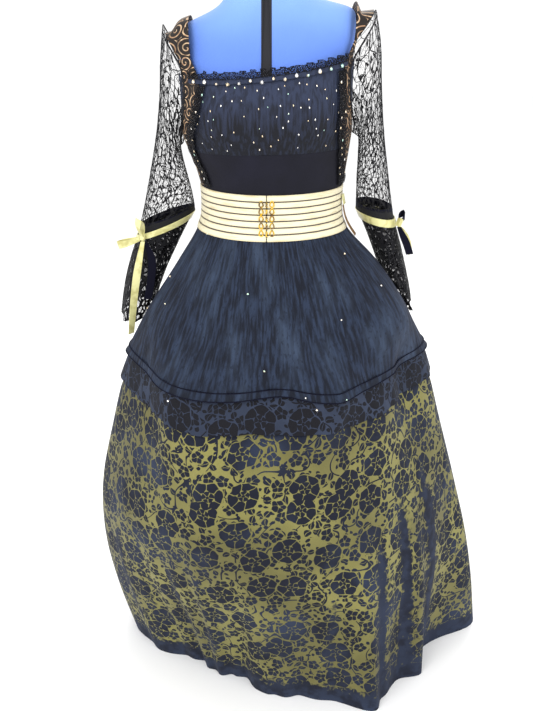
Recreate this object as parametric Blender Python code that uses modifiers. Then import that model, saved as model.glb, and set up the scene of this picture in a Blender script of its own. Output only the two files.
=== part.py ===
"""Period costume dress with a lace shrug, on a limbless dress form and a round stand.

Metres, +Z up. The dress faces -Y, so +X is the wearer's left. The origin is on the
floor under the middle of the stand. Cloth pieces are thin walls. The layers of the
skirts share one set of bearings, so each lies inside the next without touching.
"""
import math

import bpy
from mathutils import Vector

NAME = "costume_dress"

# Driving sizes
FLOOR_CLEARANCE = 0.0012
SEAM = 0.0003
CLOTH = 0.0012
BEARING_STEP = 6
WAIST_Z = 0.990
BELT_LOW, BELT_HIGH = 0.972, 1.051
UNDERBUST_Z = 1.120
NECKLINE_Z = 1.246
SHOULDER_SEAM_Z = 1.284
MIDRIFF_LEVELS = (WAIST_Z, 1.055, 1.088, UNDERBUST_Z)
BUST_LEVELS = (UNDERBUST_Z, 1.152, 1.183, 1.214, NECKLINE_Z)
OVERSKIRT_HEM_Z = 0.712
FLOUNCE_HEM_Z = 0.655
FLOUNCE_SEAM_Z = 0.800
BINDING_HEIGHT, BINDING_WALL, BINDING_OUT = 0.014, 0.0022, 0.0008
LEAN_PER_METRE = 0.10
LEAN_START_Z, LEAN_FULL_Z = 1.06, 1.25

# Torso of the bodice: z, half width, front depth, back depth, squareness
BODICE_SECTIONS = (
    (0.960, 0.1400, 0.112, 0.101, 2.0),
    (0.990, 0.1383, 0.110, 0.098, 2.0),
    (1.020, 0.1382, 0.1085, 0.0965, 2.0),
    (1.050, 0.1395, 0.1080, 0.0955, 2.0),
    (1.080, 0.1430, 0.1085, 0.097, 2.1),
    (1.120, 0.1490, 0.112, 0.099, 2.2),
    (1.160, 0.1525, 0.121, 0.101, 2.3),
    (1.200, 0.1520, 0.120, 0.101, 2.4),
    (1.250, 0.1530, 0.106, 0.099, 2.6),
    (1.290, 0.1590, 0.088, 0.096, 2.9),
    (1.320, 0.1625, 0.074, 0.087, 3.0),
)
WAIST_NIP, NIP_LOW_Z, NIP_HIGH_Z = 0.020, 1.055, 1.175
BUST_BEARINGS = (240.0, 300.0)
BUST_Z, BUST_HEIGHT, BUST_WIDTH, BUST_RISE = 1.178, 0.050, 22.0, 0.012

# The form below the waist and above the bust: same columns
FORM_LOW_SECTIONS = (
    (0.760, 0.148, 0.095, 0.105, 2.0),
    (0.800, 0.162, 0.105, 0.115, 2.0),
    (0.890, 0.155, 0.107, 0.112, 2.0),
    (0.950, 0.140, 0.106, 0.100, 2.0),
)
FORM_HIGH_SECTIONS = (
    (1.320, 0.1600, 0.071, 0.084, 3.0),
    (1.334, 0.1560, 0.066, 0.079, 2.8),
    (1.344, 0.1270, 0.062, 0.074, 2.4),
    (1.354, 0.0930, 0.058, 0.069, 2.2),
    (1.368, 0.0720, 0.056, 0.064, 2.0),
    (1.400, 0.0590, 0.053, 0.059, 2.0),
    (1.455, 0.0540, 0.051, 0.055, 2.0),
)
FORM_GAP = 0.0013
FORM_CENTRE_GAP = 0.018
FORM_GAP_DEPTH = 0.004
NECK_CAP_HEIGHT = 0.008

# Stand
BASE_RADIUS, BASE_THICKNESS = 0.150, 0.014
COLLAR_RADIUS, COLLAR_HEIGHT = 0.026, 0.030
POLE_RADIUS = 0.0125

# Overskirt: z, reach to the wearer's right, left, front and back
OVERSKIRT_SECTIONS = (
    (0.9895, 0.1212, 0.1412, 0.1130, 0.1010),
    (0.972, 0.1282, 0.1496, 0.1196, 0.1086),
    (0.940, 0.145, 0.178, 0.135, 0.125),
    (0.900, 0.171, 0.214, 0.155, 0.145),
    (0.850, 0.202, 0.248, 0.176, 0.166),
    (0.800, 0.236, 0.281, 0.192, 0.182),
)
# Reach of the hems by bearing, in degrees from +X towards +Y
OVERSKIRT_HEM = {
    5: 0.330, 20: 0.320, 45: 0.275, 70: 0.228, 90: 0.214, 110: 0.220, 135: 0.245,
    160: 0.272, 180: 0.283, 190: 0.266, 205: 0.251, 225: 0.262, 240: 0.257, 255: 0.238,
    270: 0.213, 280: 0.213, 290: 0.246, 300: 0.268, 310: 0.257, 325: 0.258, 335: 0.265,
    345: 0.268, 355: 0.300,
}
FLOUNCE_HEM = {
    5: 0.345, 20: 0.335, 45: 0.290, 70: 0.245, 90: 0.230, 110: 0.236, 135: 0.260,
    160: 0.288, 180: 0.299, 195: 0.276, 215: 0.264, 230: 0.279, 245: 0.277, 255: 0.260,
    265: 0.247, 280: 0.253, 295: 0.268, 310: 0.264, 320: 0.275, 335: 0.276, 345: 0.280,
    355: 0.318,
}
SKIRT_SECTION_Z = (0.45, 0.35, 0.20, 0.0)
SKIRT_UPPER = {
    5: 0.398, 20: 0.385, 45: 0.335, 70: 0.290, 90: 0.272, 110: 0.278, 135: 0.304,
    160: 0.334, 180: 0.347, 200: 0.318, 220: 0.296, 240: 0.286, 270: 0.266, 290: 0.274,
    305: 0.287, 320: 0.300, 335: 0.318, 350: 0.356,
}
SKIRT_MIDDLE = {
    5: 0.424, 20: 0.410, 45: 0.360, 70: 0.310, 90: 0.290, 110: 0.296, 135: 0.322,
    160: 0.350, 180: 0.360, 200: 0.325, 220: 0.292, 240: 0.276, 270: 0.262, 290: 0.276,
    305: 0.298, 320: 0.322, 335: 0.340, 350: 0.385,
}
SKIRT_LOWER = {
    5: 0.455, 20: 0.432, 45: 0.376, 70: 0.322, 90: 0.298, 110: 0.300, 135: 0.322,
    160: 0.345, 180: 0.352, 200: 0.296, 220: 0.245, 240: 0.226, 270: 0.232, 290: 0.262,
    305: 0.300, 320: 0.332, 335: 0.350, 350: 0.400,
}
SKIRT_HEM = {
    5: 0.486, 20: 0.450, 45: 0.385, 70: 0.325, 90: 0.298, 110: 0.298, 135: 0.312,
    160: 0.322, 175: 0.320, 190: 0.276, 205: 0.226, 220: 0.192, 240: 0.178, 265: 0.194,
    290: 0.242, 305: 0.294, 315: 0.340, 335: 0.356, 350: 0.395,
}
# Folds of the skirt: bearing, half width in degrees, height at the hem, top z
SKIRT_FOLDS = (
    (312, 6.0, 0.012, 0.50),
    (324, 6.0, -0.022, 0.52),
    (336, 6.0, 0.014, 0.50),
    (348, 6.0, -0.024, 0.55),
    (0, 6.0, 0.020, 0.60),
    (18, 8.0, -0.022, 0.58),
    (42, 9.0, 0.014, 0.55),
    (66, 9.0, -0.020, 0.55),
    (90, 9.0, 0.014, 0.56),
    (114, 9.0, -0.018, 0.55),
    (138, 9.0, 0.012, 0.54),
    (162, 8.0, -0.014, 0.50),
    (198, 8.0, 0.008, 0.45),
    (216, 8.0, -0.009, 0.40),
    (234, 8.0, 0.008, 0.45),
    (252, 8.0, -0.010, 0.42),
    (270, 8.0, 0.009, 0.46),
    (294, 8.0, -0.010, 0.44),
)
# Folds of the overskirt and flounce: bearing, half width, height at the hem, top z
OVERSKIRT_FOLDS = (
    (30, 9.0, -0.008, 0.88),
    (54, 9.0, 0.007, 0.86),
    (78, 9.0, -0.008, 0.88),
    (102, 9.0, 0.007, 0.86),
    (126, 9.0, -0.007, 0.86),
    (150, 9.0, 0.006, 0.86),
)

# Sleeves of the wearer's right and left, a row for each ring from the armhole down:
# outer x, outer z, inner x, inner z, middle y, half depth
SLEEVE_RIGHT = (
    (0.1785, 1.322, 0.152, 1.122, 0.004, 0.066),
    (0.1850, 1.264, 0.159, 1.114, 0.004, 0.062),
    (0.1890, 1.210, 0.157, 1.102, 0.004, 0.056),
    (0.1970, 1.154, 0.153, 1.086, 0.006, 0.051),
    (0.2080, 1.100, 0.148, 1.066, 0.009, 0.047),
    (0.2200, 1.049, 0.143, 1.044, 0.013, 0.044),
    (0.2330, 0.999, 0.139, 1.020, 0.020, 0.042),
    (0.2470, 0.952, 0.137, 0.996, 0.028, 0.041),
)
SLEEVE_LEFT = (
    (0.1875, 1.345, 0.155, 1.142, 0.004, 0.066),
    (0.1980, 1.290, 0.167, 1.133, 0.004, 0.064),
    (0.2020, 1.238, 0.169, 1.119, 0.004, 0.060),
    (0.2070, 1.186, 0.169, 1.101, 0.006, 0.057),
    (0.2140, 1.134, 0.169, 1.081, 0.009, 0.055),
    (0.2230, 1.083, 0.169, 1.058, 0.014, 0.054),
    (0.2320, 1.034, 0.170, 1.031, 0.020, 0.053),
    (0.2420, 0.986, 0.171, 1.000, 0.028, 0.052),
)
# Cuffs, from the gathered seam down: same columns
CUFF_RIGHT = (
    (0.2475, 0.9505, 0.137, 0.9945, 0.028, 0.0405),
    (0.2680, 0.9000, 0.168, 0.935, 0.050, 0.049),
    (0.2890, 0.8350, 0.206, 0.855, 0.074, 0.064),
    (0.3010, 0.7650, 0.238, 0.770, 0.088, 0.076),
)
CUFF_LEFT = (
    (0.2423, 0.9845, 0.171, 0.9985, 0.028, 0.0515),
    (0.2640, 0.9250, 0.200, 0.935, 0.052, 0.056),
    (0.2850, 0.8550, 0.230, 0.860, 0.082, 0.064),
    (0.3010, 0.7850, 0.256, 0.785, 0.104, 0.070),
)
SLEEVE_MARGIN, ARMHOLE_MARGIN = 0.0055, 0.0014
ARMHOLE_HUG = 0.034
SLEEVE_COLUMNS = 12
SLEEVE_SPLIT = 0.8
LACE_MARGIN_SIDE, LACE_MARGIN_END = 0.24, 0.20
CUFF_COLUMNS, CUFF_WAVES, CUFF_WAVE = 28, 7, 0.0055
BAND_OUT, RIBBON_OUT = 0.0021, 0.0033

# Belt of six stitched tucks
BELT_TUCKS = 7
BELT_STEP = 10
BELT_INNER_GAP = 0.0012
BELT_WALL = 0.0020
TUCK_RISE = 0.0013
BELT_END_ANGLE = 0.35
CLASP_ROWS = 5
CLASP_TOP_Z, CLASP_PITCH = 1.0365, 0.0125
CLASP_OFFSET = 0.0095
CLASP_RADIUS, CLASP_WIRE = 0.0040, 0.0011

# Shrug: z, x of the front edge on the wearer's right and left
SHRUG_EDGES = (
    (1.054, 0.104, 0.1345),
    (1.080, 0.112, 0.1330),
    (1.110, 0.126, 0.1315),
    (1.150, 0.131, 0.1290),
    (1.200, 0.120, 0.1280),
    (1.250, 0.108, 0.1270),
    (SHOULDER_SEAM_Z, 0.125, 0.1450),
)
SHRUG_OFFSET = 0.0024
SHRUG_BACK_EASE = 0.0006
SHRUG_WALL = 0.0010
YOKE_INNER_RIGHT, YOKE_INNER_LEFT = 0.131, 0.153
YOKE_OUTER_RIGHT, YOKE_OUTER_LEFT = 0.1725, 0.1830
TRIM_WIDTH, TRIM_WAVE, TRIM_WAVES = 0.013, 0.0022, 7
TRIM_TOP_Z, TRIM_OUT = 1.2405, 0.0020
YOKE_FULLNESS, YOKE_LIFT = 0.66, 0.0080
RUFFLE_HEIGHT, RUFFLE_WAVE, RUFFLE_WAVES = 0.013, 0.0032, 15
RUFFLE_END_RIGHT, RUFFLE_END_LEFT = 0.128, 0.132
NECK_BAND_HEIGHT, NECK_BAND_OUT, RUFFLE_OUT = 0.007, 0.0042, 0.0060
GATHERS, GATHER_DEPTH = 9, 0.0011

# Colours: red, green, blue, roughness, metallic
FORM_BLUE = (0.10, 0.27, 0.72, 0.75, 0.0)
STAND_BLACK = (0.02, 0.02, 0.022, 0.40, 0.0)
POLE_STEEL = (0.55, 0.56, 0.58, 0.30, 1.0)
NAVY_GATHERED = (0.022, 0.030, 0.058, 0.70, 0.0)
BLACK_NAVY = (0.010, 0.010, 0.018, 0.75, 0.0)
BLACK_LACE = (0.008, 0.008, 0.009, 0.80, 0.0)
NAVY_LACE = (0.030, 0.042, 0.085, 0.70, 0.0)
NAVY_DEVORE = (0.034, 0.045, 0.090, 0.65, 0.0)
OLIVE_GOLD = (0.330, 0.300, 0.060, 0.55, 0.0)
BRONZE_MESH = (0.090, 0.055, 0.035, 0.60, 0.2)
CREAM_CLOTH = (0.880, 0.840, 0.630, 0.50, 0.0)
CREAM_SATIN = (0.780, 0.770, 0.410, 0.35, 0.0)
BLACK_VELVET = (0.006, 0.006, 0.012, 0.90, 0.0)
CLASP_GOLD = (0.750, 0.520, 0.130, 0.30, 1.0)
BRONZE_STRIP = (0.250, 0.150, 0.060, 0.50, 0.2)


def clear_scene():
    for item in list(bpy.data.objects):
        bpy.data.objects.remove(item, do_unlink=True)


def new_collection():
    collection = bpy.data.collections.new(NAME)
    bpy.context.scene.collection.children.link(collection)
    return collection


def material(name, look):
    red, green, blue, roughness, metallic = look
    made = bpy.data.materials.new(name)
    made.use_nodes = True
    shader = made.node_tree.nodes["Principled BSDF"]
    shader.inputs["Base Color"].default_value = (red, green, blue, 1.0)
    shader.inputs["Roughness"].default_value = roughness
    shader.inputs["Metallic"].default_value = metallic
    return made


def smoothstep(low, high, value):
    share = min(max((value - low) / (high - low), 0.0), 1.0)
    return share * share * (3.0 - 2.0 * share)


def smooth_rows(rows, position):
    """Value of each column at a position, by a smooth curve through the rows."""
    rows = sorted(rows)
    if position <= rows[0][0]:
        return rows[0][1:]
    if position >= rows[-1][0]:
        return rows[-1][1:]
    index = max(i for i, row in enumerate(rows) if row[0] <= position)
    start, end = rows[index], rows[index + 1]
    before = rows[max(index - 1, 0)]
    after = rows[min(index + 2, len(rows) - 1)]
    span = end[0] - start[0]
    t = (position - start[0]) / span
    values = []
    for column in range(1, len(start)):
        slope_in = (end[column] - before[column]) / (end[0] - before[0])
        slope_out = (after[column] - start[column]) / (after[0] - start[0])
        values.append(
            (2 * t**3 - 3 * t**2 + 1) * start[column]
            + (t**3 - 2 * t**2 + t) * span * slope_in
            + (3 * t**2 - 2 * t**3) * end[column]
            + (t**3 - t**2) * span * slope_out
        )
    return tuple(values)


def by_bearing(table, bearing):
    """Smooth reach round the whole circle from a few named bearings."""
    bearing = bearing % 360.0
    rows = sorted(table.items())
    wrapped = [(rows[i][0] - 360, rows[i][1]) for i in (-3, -2, -1)]
    wrapped += rows
    wrapped += [(rows[i][0] + 360, rows[i][1]) for i in (0, 1, 2)]
    return smooth_rows(wrapped, bearing)[0]


def oval_reach(bearing, right, left, front, back, squareness=2.0):
    """Reach of an oval from the middle. The wearer's right is at -X."""
    angle = math.radians(bearing)
    across, along = math.cos(angle), math.sin(angle)
    width = left if across > 0 else right
    depth = back if along > 0 else front
    total = abs(across / width) ** squareness + abs(along / depth) ** squareness
    return total ** (-1.0 / squareness)


def folds(table, bearing, z, hem_z):
    total = 0.0
    for centre, half_width, height, top_z in table:
        away = abs((bearing - centre + 180.0) % 360.0 - 180.0)
        if away < half_width * 2 and z < top_z:
            across = math.cos(math.pi * 0.5 * away / (half_width * 2)) ** 2
            total += height * across * smoothstep(top_z, hem_z, z)
    return total


def lean(x, z):
    return z + LEAN_PER_METRE * x * smoothstep(LEAN_START_Z, LEAN_FULL_Z, z)


def polar(bearing, reach, z):
    angle = math.radians(bearing)
    x, y = reach * math.cos(angle), reach * math.sin(angle)
    return Vector((x, y, lean(x, z)))


def nipped(width, z):
    """Half width on the wearer's right, which is taken in more below the bust."""
    return width - WAIST_NIP * (1 - smoothstep(NIP_LOW_Z, NIP_HIGH_Z, z))


def bodice_reach(bearing, z):
    width, front, back, squareness = smooth_rows(BODICE_SECTIONS, z)
    reach = oval_reach(bearing, nipped(width, z), width, front, back, squareness)
    for centre in BUST_BEARINGS:
        across = (bearing - centre) / BUST_WIDTH
        height = (z - BUST_Z) / BUST_HEIGHT
        reach += BUST_RISE * math.exp(-across * across - height * height)
    return reach


def overskirt_reach(bearing, z):
    if z < FLOUNCE_SEAM_Z:
        start = overskirt_reach(bearing, FLOUNCE_SEAM_Z)
        hem = by_bearing(OVERSKIRT_HEM, bearing)
        hem += folds(OVERSKIRT_FOLDS, bearing, OVERSKIRT_HEM_Z, OVERSKIRT_HEM_Z)
        share = (FLOUNCE_SEAM_Z - z) / (FLOUNCE_SEAM_Z - OVERSKIRT_HEM_Z)
        return start + (hem - start) * share
    levels = [(row[0], oval_reach(bearing, *row[1:])) for row in OVERSKIRT_SECTIONS]
    reach = smooth_rows(levels, z)[0]
    return reach + folds(OVERSKIRT_FOLDS, bearing, z, OVERSKIRT_HEM_Z)


def binding_reach(bearing, z):
    return overskirt_reach(bearing, z) + BINDING_OUT


def flounce_reach(bearing, z):
    if z >= OVERSKIRT_HEM_Z:
        inset = 0.0032 + 0.0024 * smoothstep(FLOUNCE_SEAM_Z, OVERSKIRT_HEM_Z, z)
        return overskirt_reach(bearing, z) - inset
    hem = by_bearing(FLOUNCE_HEM, bearing)
    hem += folds(OVERSKIRT_FOLDS, bearing, OVERSKIRT_HEM_Z, OVERSKIRT_HEM_Z)
    start = flounce_reach(bearing, OVERSKIRT_HEM_Z)
    share = (OVERSKIRT_HEM_Z - z) / (OVERSKIRT_HEM_Z - FLOUNCE_HEM_Z)
    return start + (hem - start) * share


def skirt_reach(bearing, z):
    if z >= OVERSKIRT_HEM_Z:
        inset = 0.0030 + 0.0021 * smoothstep(WAIST_Z, FLOUNCE_SEAM_Z, z)
        inset += 0.0030 * math.sin(math.pi * smoothstep(WAIST_Z, FLOUNCE_SEAM_Z, z))
        inset += 0.0050 * smoothstep(FLOUNCE_SEAM_Z, OVERSKIRT_HEM_Z, z)
        return overskirt_reach(bearing, z) - inset
    levels = [
        (OVERSKIRT_HEM_Z, skirt_reach(bearing, OVERSKIRT_HEM_Z)),
        (FLOUNCE_HEM_Z, flounce_reach(bearing, FLOUNCE_HEM_Z) - 0.006),
    ]
    tables = (SKIRT_UPPER, SKIRT_MIDDLE, SKIRT_LOWER, SKIRT_HEM)
    levels += [(level, by_bearing(t, bearing)) for level, t in zip(SKIRT_SECTION_Z, tables)]
    return smooth_rows(levels, z)[0] + folds(SKIRT_FOLDS, bearing, z, 0.0)


def cloth(name, rows, look, wall=CLOTH, closed=False, open_cells=None):
    """Thin wall behind a grid of points, rows upward and columns anticlockwise."""
    verts = [point for row in rows for point in row]
    wide = len(rows[0])
    faces = []
    for r in range(len(rows) - 1):
        for c in range(wide if closed else wide - 1):
            n = (c + 1) % wide
            corners = [r * wide + c, r * wide + n, (r + 1) * wide + n, (r + 1) * wide + c]
            if not open_cells or (r, c) not in open_cells:
                faces.append(corners)
                continue
            side, end = open_cells[(r, c)]
            a, b, d, e = (verts[i] for i in corners)
            first = len(verts)
            for u, v in ((side, end), (1 - side, end), (1 - side, 1 - end), (side, 1 - end)):
                verts.append(a.lerp(b, u).lerp(e.lerp(d, u), v))
            for i in range(4):
                j = (i + 1) % 4
                faces.append([corners[i], corners[j], first + j, first + i])
    mesh = bpy.data.meshes.new(name)
    mesh.from_pydata([tuple(v) for v in verts], [], faces)
    mesh.validate()
    made = add_object(name, mesh, look)
    thickness = made.modifiers.new("wall", "SOLIDIFY")
    thickness.thickness = wall
    thickness.offset = -1.0
    return made


def loft(name, loops, look):
    """Solid through closed loops of equal counts, with flat ends."""
    count = len(loops[0])
    verts = [tuple(point) for loop in loops for point in loop]
    faces = []
    for r in range(len(loops) - 1):
        for c in range(count):
            n = (c + 1) % count
            faces.append([r * count + c, r * count + n, (r + 1) * count + n, (r + 1) * count + c])
    faces.append(list(reversed(range(count))))
    faces.append([(len(loops) - 1) * count + c for c in range(count)])
    mesh = bpy.data.meshes.new(name)
    mesh.from_pydata(verts, [], faces)
    mesh.validate()
    return add_object(name, mesh, look)


def add_object(name, mesh, look):
    made = bpy.data.objects.new(name, mesh)
    PARTS.objects.link(made)
    mesh.materials.append(material(name, look))
    mesh.shade_smooth()
    mesh.set_sharp_from_angle(angle=math.radians(40))
    return made


def adopt(name, look):
    """Take the primitive just made into the collection of parts."""
    made = bpy.context.object
    for owner in list(made.users_collection):
        owner.objects.unlink(made)
    PARTS.objects.link(made)
    made.name = name
    made.data.name = name
    made.data.materials.append(material(name, look))
    made.data.shade_smooth()
    made.data.set_sharp_from_angle(angle=math.radians(40))
    return made


def bearings():
    return range(0, 360, BEARING_STEP)


def make_dress_form():
    """Padded torso with a centre-front gap, closed at the bottom and at the neck."""
    # The bearings gather at the centre front, where the gap has square sides.
    half_gap = math.degrees(math.asin(FORM_CENTRE_GAP / 2 / 0.105))
    around = [0, 20, 40, 60, 80, 100, 120, 140, 160, 180, 198, 216, 232, 248,
              270 - half_gap - 0.4, 270 - half_gap, 270 + half_gap, 270 + half_gap + 0.4,
              292, 308, 324, 342]
    loops = []
    levels = [row[0] for row in FORM_LOW_SECTIONS] + list(MIDRIFF_LEVELS)
    levels += list(BUST_LEVELS[1:]) + [SHOULDER_SEAM_Z]
    levels += [row[0] for row in FORM_HIGH_SECTIONS]
    for z in levels:
        loop = []
        for bearing in around:
            if z < 0.96:
                width, front, back, square = smooth_rows(FORM_LOW_SECTIONS, z)
                reach = oval_reach(bearing, nipped(width, z), width, front, back, square)
            elif z < 1.30:
                reach = bodice_reach(bearing, z) - CLOTH - FORM_GAP
            else:
                width, front, back, square = smooth_rows(FORM_HIGH_SECTIONS, z)
                reach = oval_reach(bearing, width, width, front, back, square)
            if abs(bearing - 270) <= half_gap:
                reach -= FORM_GAP_DEPTH
            loop.append(polar(bearing, reach, z))
        loops.append(loop)
    return loft("dress_form", loops, FORM_BLUE)


def make_neck_cap():
    z, width, front, back, square = FORM_HIGH_SECTIONS[-1]
    loops = []
    for height, grow in ((SEAM, 0.002), (NECK_CAP_HEIGHT - 0.002, 0.002), (NECK_CAP_HEIGHT, 0.0)):
        loops.append([
            polar(b, oval_reach(b, width, width, front, back, square) + grow, z + height)
            for b in range(0, 360, 24)
        ])
    loft("form_neck_cap", loops, FORM_BLUE)


def make_stand():
    """Turned foot with a collar, and a straight pole up to the torso."""
    profile = [
        (0.0, BASE_THICKNESS + COLLAR_HEIGHT),
        (COLLAR_RADIUS - 0.008, BASE_THICKNESS + COLLAR_HEIGHT),
        (COLLAR_RADIUS, BASE_THICKNESS + 0.004),
        (COLLAR_RADIUS + 0.010, BASE_THICKNESS),
        (BASE_RADIUS - 0.006, BASE_THICKNESS - 0.004),
        (BASE_RADIUS, BASE_THICKNESS - 0.010),
        (BASE_RADIUS, 0.0),
        (0.0, 0.0),
    ]
    mesh = bpy.data.meshes.new("stand_base")
    points = [(x, 0.0, z) for x, z in profile]
    mesh.from_pydata(points, [(i, i + 1) for i in range(len(points) - 1)], [])
    made = add_object("stand_base", mesh, STAND_BLACK)
    turn = made.modifiers.new("turn", "SCREW")
    turn.steps = 32
    turn.render_steps = 32
    turn.use_merge_vertices = True
    turn.merge_threshold = 0.0001
    low = BASE_THICKNESS + COLLAR_HEIGHT + SEAM
    high = FORM_LOW_SECTIONS[0][0] - SEAM
    bpy.ops.mesh.primitive_cylinder_add(
        vertices=16, radius=POLE_RADIUS, depth=high - low, location=(0, 0, (low + high) / 2)
    )
    adopt("stand_pole", POLE_STEEL)


def neckline_z(x):
    return NECKLINE_Z + 0.010 * (x / 0.15) ** 2


def front_bearing(z, x):
    """Bearing on the front of the bodice at a given x."""
    low, high = (180.0, 270.0) if x < 0 else (360.0, 270.0)
    for _ in range(30):
        middle = (low + high) / 2
        if abs(bodice_reach(middle, z) * math.cos(math.radians(middle))) > abs(x):
            low = middle
        else:
            high = middle
    return (low + high) / 2


def make_bodice():
    """Gathered bust panel, plain midriff and plain back, parted at the seams."""
    seam_angle = math.degrees(SEAM / 0.12)
    columns = 36
    steps = [180 + seam_angle + (180 - 2 * seam_angle) * c / columns for c in range(columns + 1)]
    rows = []
    for level in BUST_LEVELS:
        row = []
        share = (level - UNDERBUST_Z) / (NECKLINE_Z - UNDERBUST_Z)
        for bearing in steps:
            x = bodice_reach(bearing, NECKLINE_Z) * math.cos(math.radians(bearing))
            z = level + SEAM / 2 + (neckline_z(x) - NECKLINE_Z) * share
            wave = math.cos(math.radians((bearing - 180) * 2 * GATHERS) + 1.3 * math.sin(bearing))
            dent = GATHER_DEPTH * (1 - wave) / 2 * (1 - 0.5 * abs(share - 0.5))
            row.append(polar(bearing, bodice_reach(bearing, z) - dent, z))
        rows.append(row)
    cloth("bust_panel", rows, NAVY_GATHERED, wall=0.0010)
    steps = steps[::2]
    rows = [
        [polar(b, bodice_reach(b, z), z) for b in steps]
        for z in MIDRIFF_LEVELS[:-1] + (UNDERBUST_Z - SEAM / 2,)
    ]
    cloth("midriff_front", rows, BLACK_NAVY)
    steps = [seam_angle + (180 - 2 * seam_angle) * c / 18 for c in range(19)]
    rows = [
        [polar(b, bodice_reach(b, z), z) for b in steps]
        for z in MIDRIFF_LEVELS + BUST_LEVELS[1:]
    ]
    cloth("bodice_back", rows, BLACK_NAVY)


def shrug_edge(side, z):
    right, left = smooth_rows(SHRUG_EDGES, z)
    return -right if side < 0 else left


def armhole_depth(side, z):
    """Half depth of the armhole at a height, from the first ring of the sleeve."""
    ring = SLEEVE_RIGHT[0] if side < 0 else SLEEVE_LEFT[0]
    middle, half = (ring[1] + ring[3]) / 2, (ring[1] - ring[3]) / 2
    level = lean(side * ring[2], z)
    share = (level - middle) / (half * 1.08)
    return ring[5] * max(1 - share * share, 0.0)


def side_bearing(side, z, depth):
    """Bearing near the side of the body at a given y, front being negative."""
    width = smooth_rows(BODICE_SECTIONS, z)[0]
    angle = math.degrees(math.atan2(depth, width if side > 0 else nipped(width, z)))
    return angle if side > 0 else 180.0 - angle


SHRUG_LEVELS = (1.055, 1.088, UNDERBUST_Z, 1.136) + BUST_LEVELS[1:] + (SHOULDER_SEAM_Z,)


def shrug_front_row(side, z, columns=4):
    """Points of a front panel at one height, anticlockwise."""
    inner = front_bearing(z, shrug_edge(side, z))
    outer = side_bearing(side, z, -max(armhole_depth(side, z), 0.0004))
    if side > 0 and outer < 180:
        outer += 360
    start, end = (outer, inner) if side < 0 else (inner, outer)
    row = []
    for c in range(columns + 1):
        bearing = start + (end - start) * c / columns
        row.append(polar(bearing, bodice_reach(bearing, z) + SHRUG_OFFSET, z))
    return row


def shrug_back_row(z):
    """Points of the back panel at one height. Only those near the armholes shift."""
    start = side_bearing(1, z, max(armhole_depth(1, z), 0.0004))
    end = side_bearing(-1, z, max(armhole_depth(-1, z), 0.0004))
    steps = [start + (30 - start) * i / 3 for i in range(3)] + list(range(30, 151, 10))
    steps += [150 + (end - 150) * i / 3 for i in (1, 2, 3)]
    row = []
    for bearing in steps:
        row.append(polar(bearing, bodice_reach(bearing, z) + SHRUG_OFFSET + SHRUG_BACK_EASE, z))
    return row


def make_shrug():
    """Front panels, back panel and the yokes that go over the shoulders."""
    for side, tag in ((-1, "right"), (1, "left")):
        rows = [shrug_front_row(side, z) for z in SHRUG_LEVELS]
        cloth("shrug_front_" + tag, rows, BRONZE_MESH, wall=SHRUG_WALL)
        make_yoke(side, tag)
        make_trim(side, tag)
    rows = [shrug_back_row(z) for z in SHRUG_LEVELS]
    cloth("shrug_back", rows, BRONZE_MESH, wall=SHRUG_WALL)


def form_top(x):
    """Height of the shoulder of the form at a distance from the middle."""
    rows = [(-row[1], row[0]) for row in FORM_HIGH_SECTIONS]
    return smooth_rows(rows, -abs(x))[0]


def make_yoke(side, tag):
    """Strap from the top of the front panel, over the shoulder, to the back panel."""
    inner = YOKE_INNER_RIGHT if side < 0 else YOKE_INNER_LEFT
    outer = YOKE_OUTER_RIGHT if side < 0 else YOKE_OUTER_LEFT
    ring = SLEEVE_RIGHT[0] if side < 0 else SLEEVE_LEFT[0]
    columns, arcs = 4, 5
    front = shrug_front_row(side, SHOULDER_SEAM_Z, columns)
    if side > 0:
        front = list(reversed(front))
    width = smooth_rows(BODICE_SECTIONS, SHOULDER_SEAM_Z)[0]
    lines = []
    for c in range(columns + 1):
        share = c / columns
        begin = front[columns - c]
        x = inner + (outer - inner) * share
        top = lean(side * x, form_top(x) + YOKE_LIFT)
        if x > width:
            top = min(top, ring[1] + 0.004)
        back_x = min(x, width - 0.0015 - 0.012 * (1 - share))
        back_bearing = side_bearing(side, SHOULDER_SEAM_Z, 0.01)
        low, high = back_bearing, 90.0
        for _ in range(30):
            middle = (low + high) / 2
            reach = bodice_reach(middle, SHOULDER_SEAM_Z) + SHRUG_OFFSET
            if abs(reach * math.cos(math.radians(middle))) > back_x:
                low = middle
            else:
                high = middle
        reach = bodice_reach(low, SHOULDER_SEAM_Z) + SHRUG_OFFSET
        finish = polar(low, reach, SHOULDER_SEAM_Z)
        line = []
        for a in range(arcs + 1):
            turn = math.pi / 2 * a / arcs
            rise, stay = math.sin(turn) ** YOKE_FULLNESS, math.cos(turn) ** YOKE_FULLNESS
            line.append(Vector((
                begin.x + (side * x - begin.x) * rise,
                begin.y * stay,
                begin.z + SEAM + (top - begin.z) * rise,
            )))
        for a in range(arcs - 1, -1, -1):
            turn = math.pi / 2 * a / arcs
            rise, stay = math.sin(turn) ** YOKE_FULLNESS, math.cos(turn) ** YOKE_FULLNESS
            line.append(Vector((
                finish.x + (side * x - finish.x) * rise,
                finish.y * stay,
                finish.z + SEAM + (top - finish.z) * rise,
            )))
        lines.append(line)
    if side > 0:
        lines.reverse()
    lines.reverse()
    rows = [[line[i] for line in lines] for i in range(len(lines[0]))]
    cloth("shrug_yoke_" + tag, rows, BRONZE_MESH, wall=SHRUG_WALL)


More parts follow.
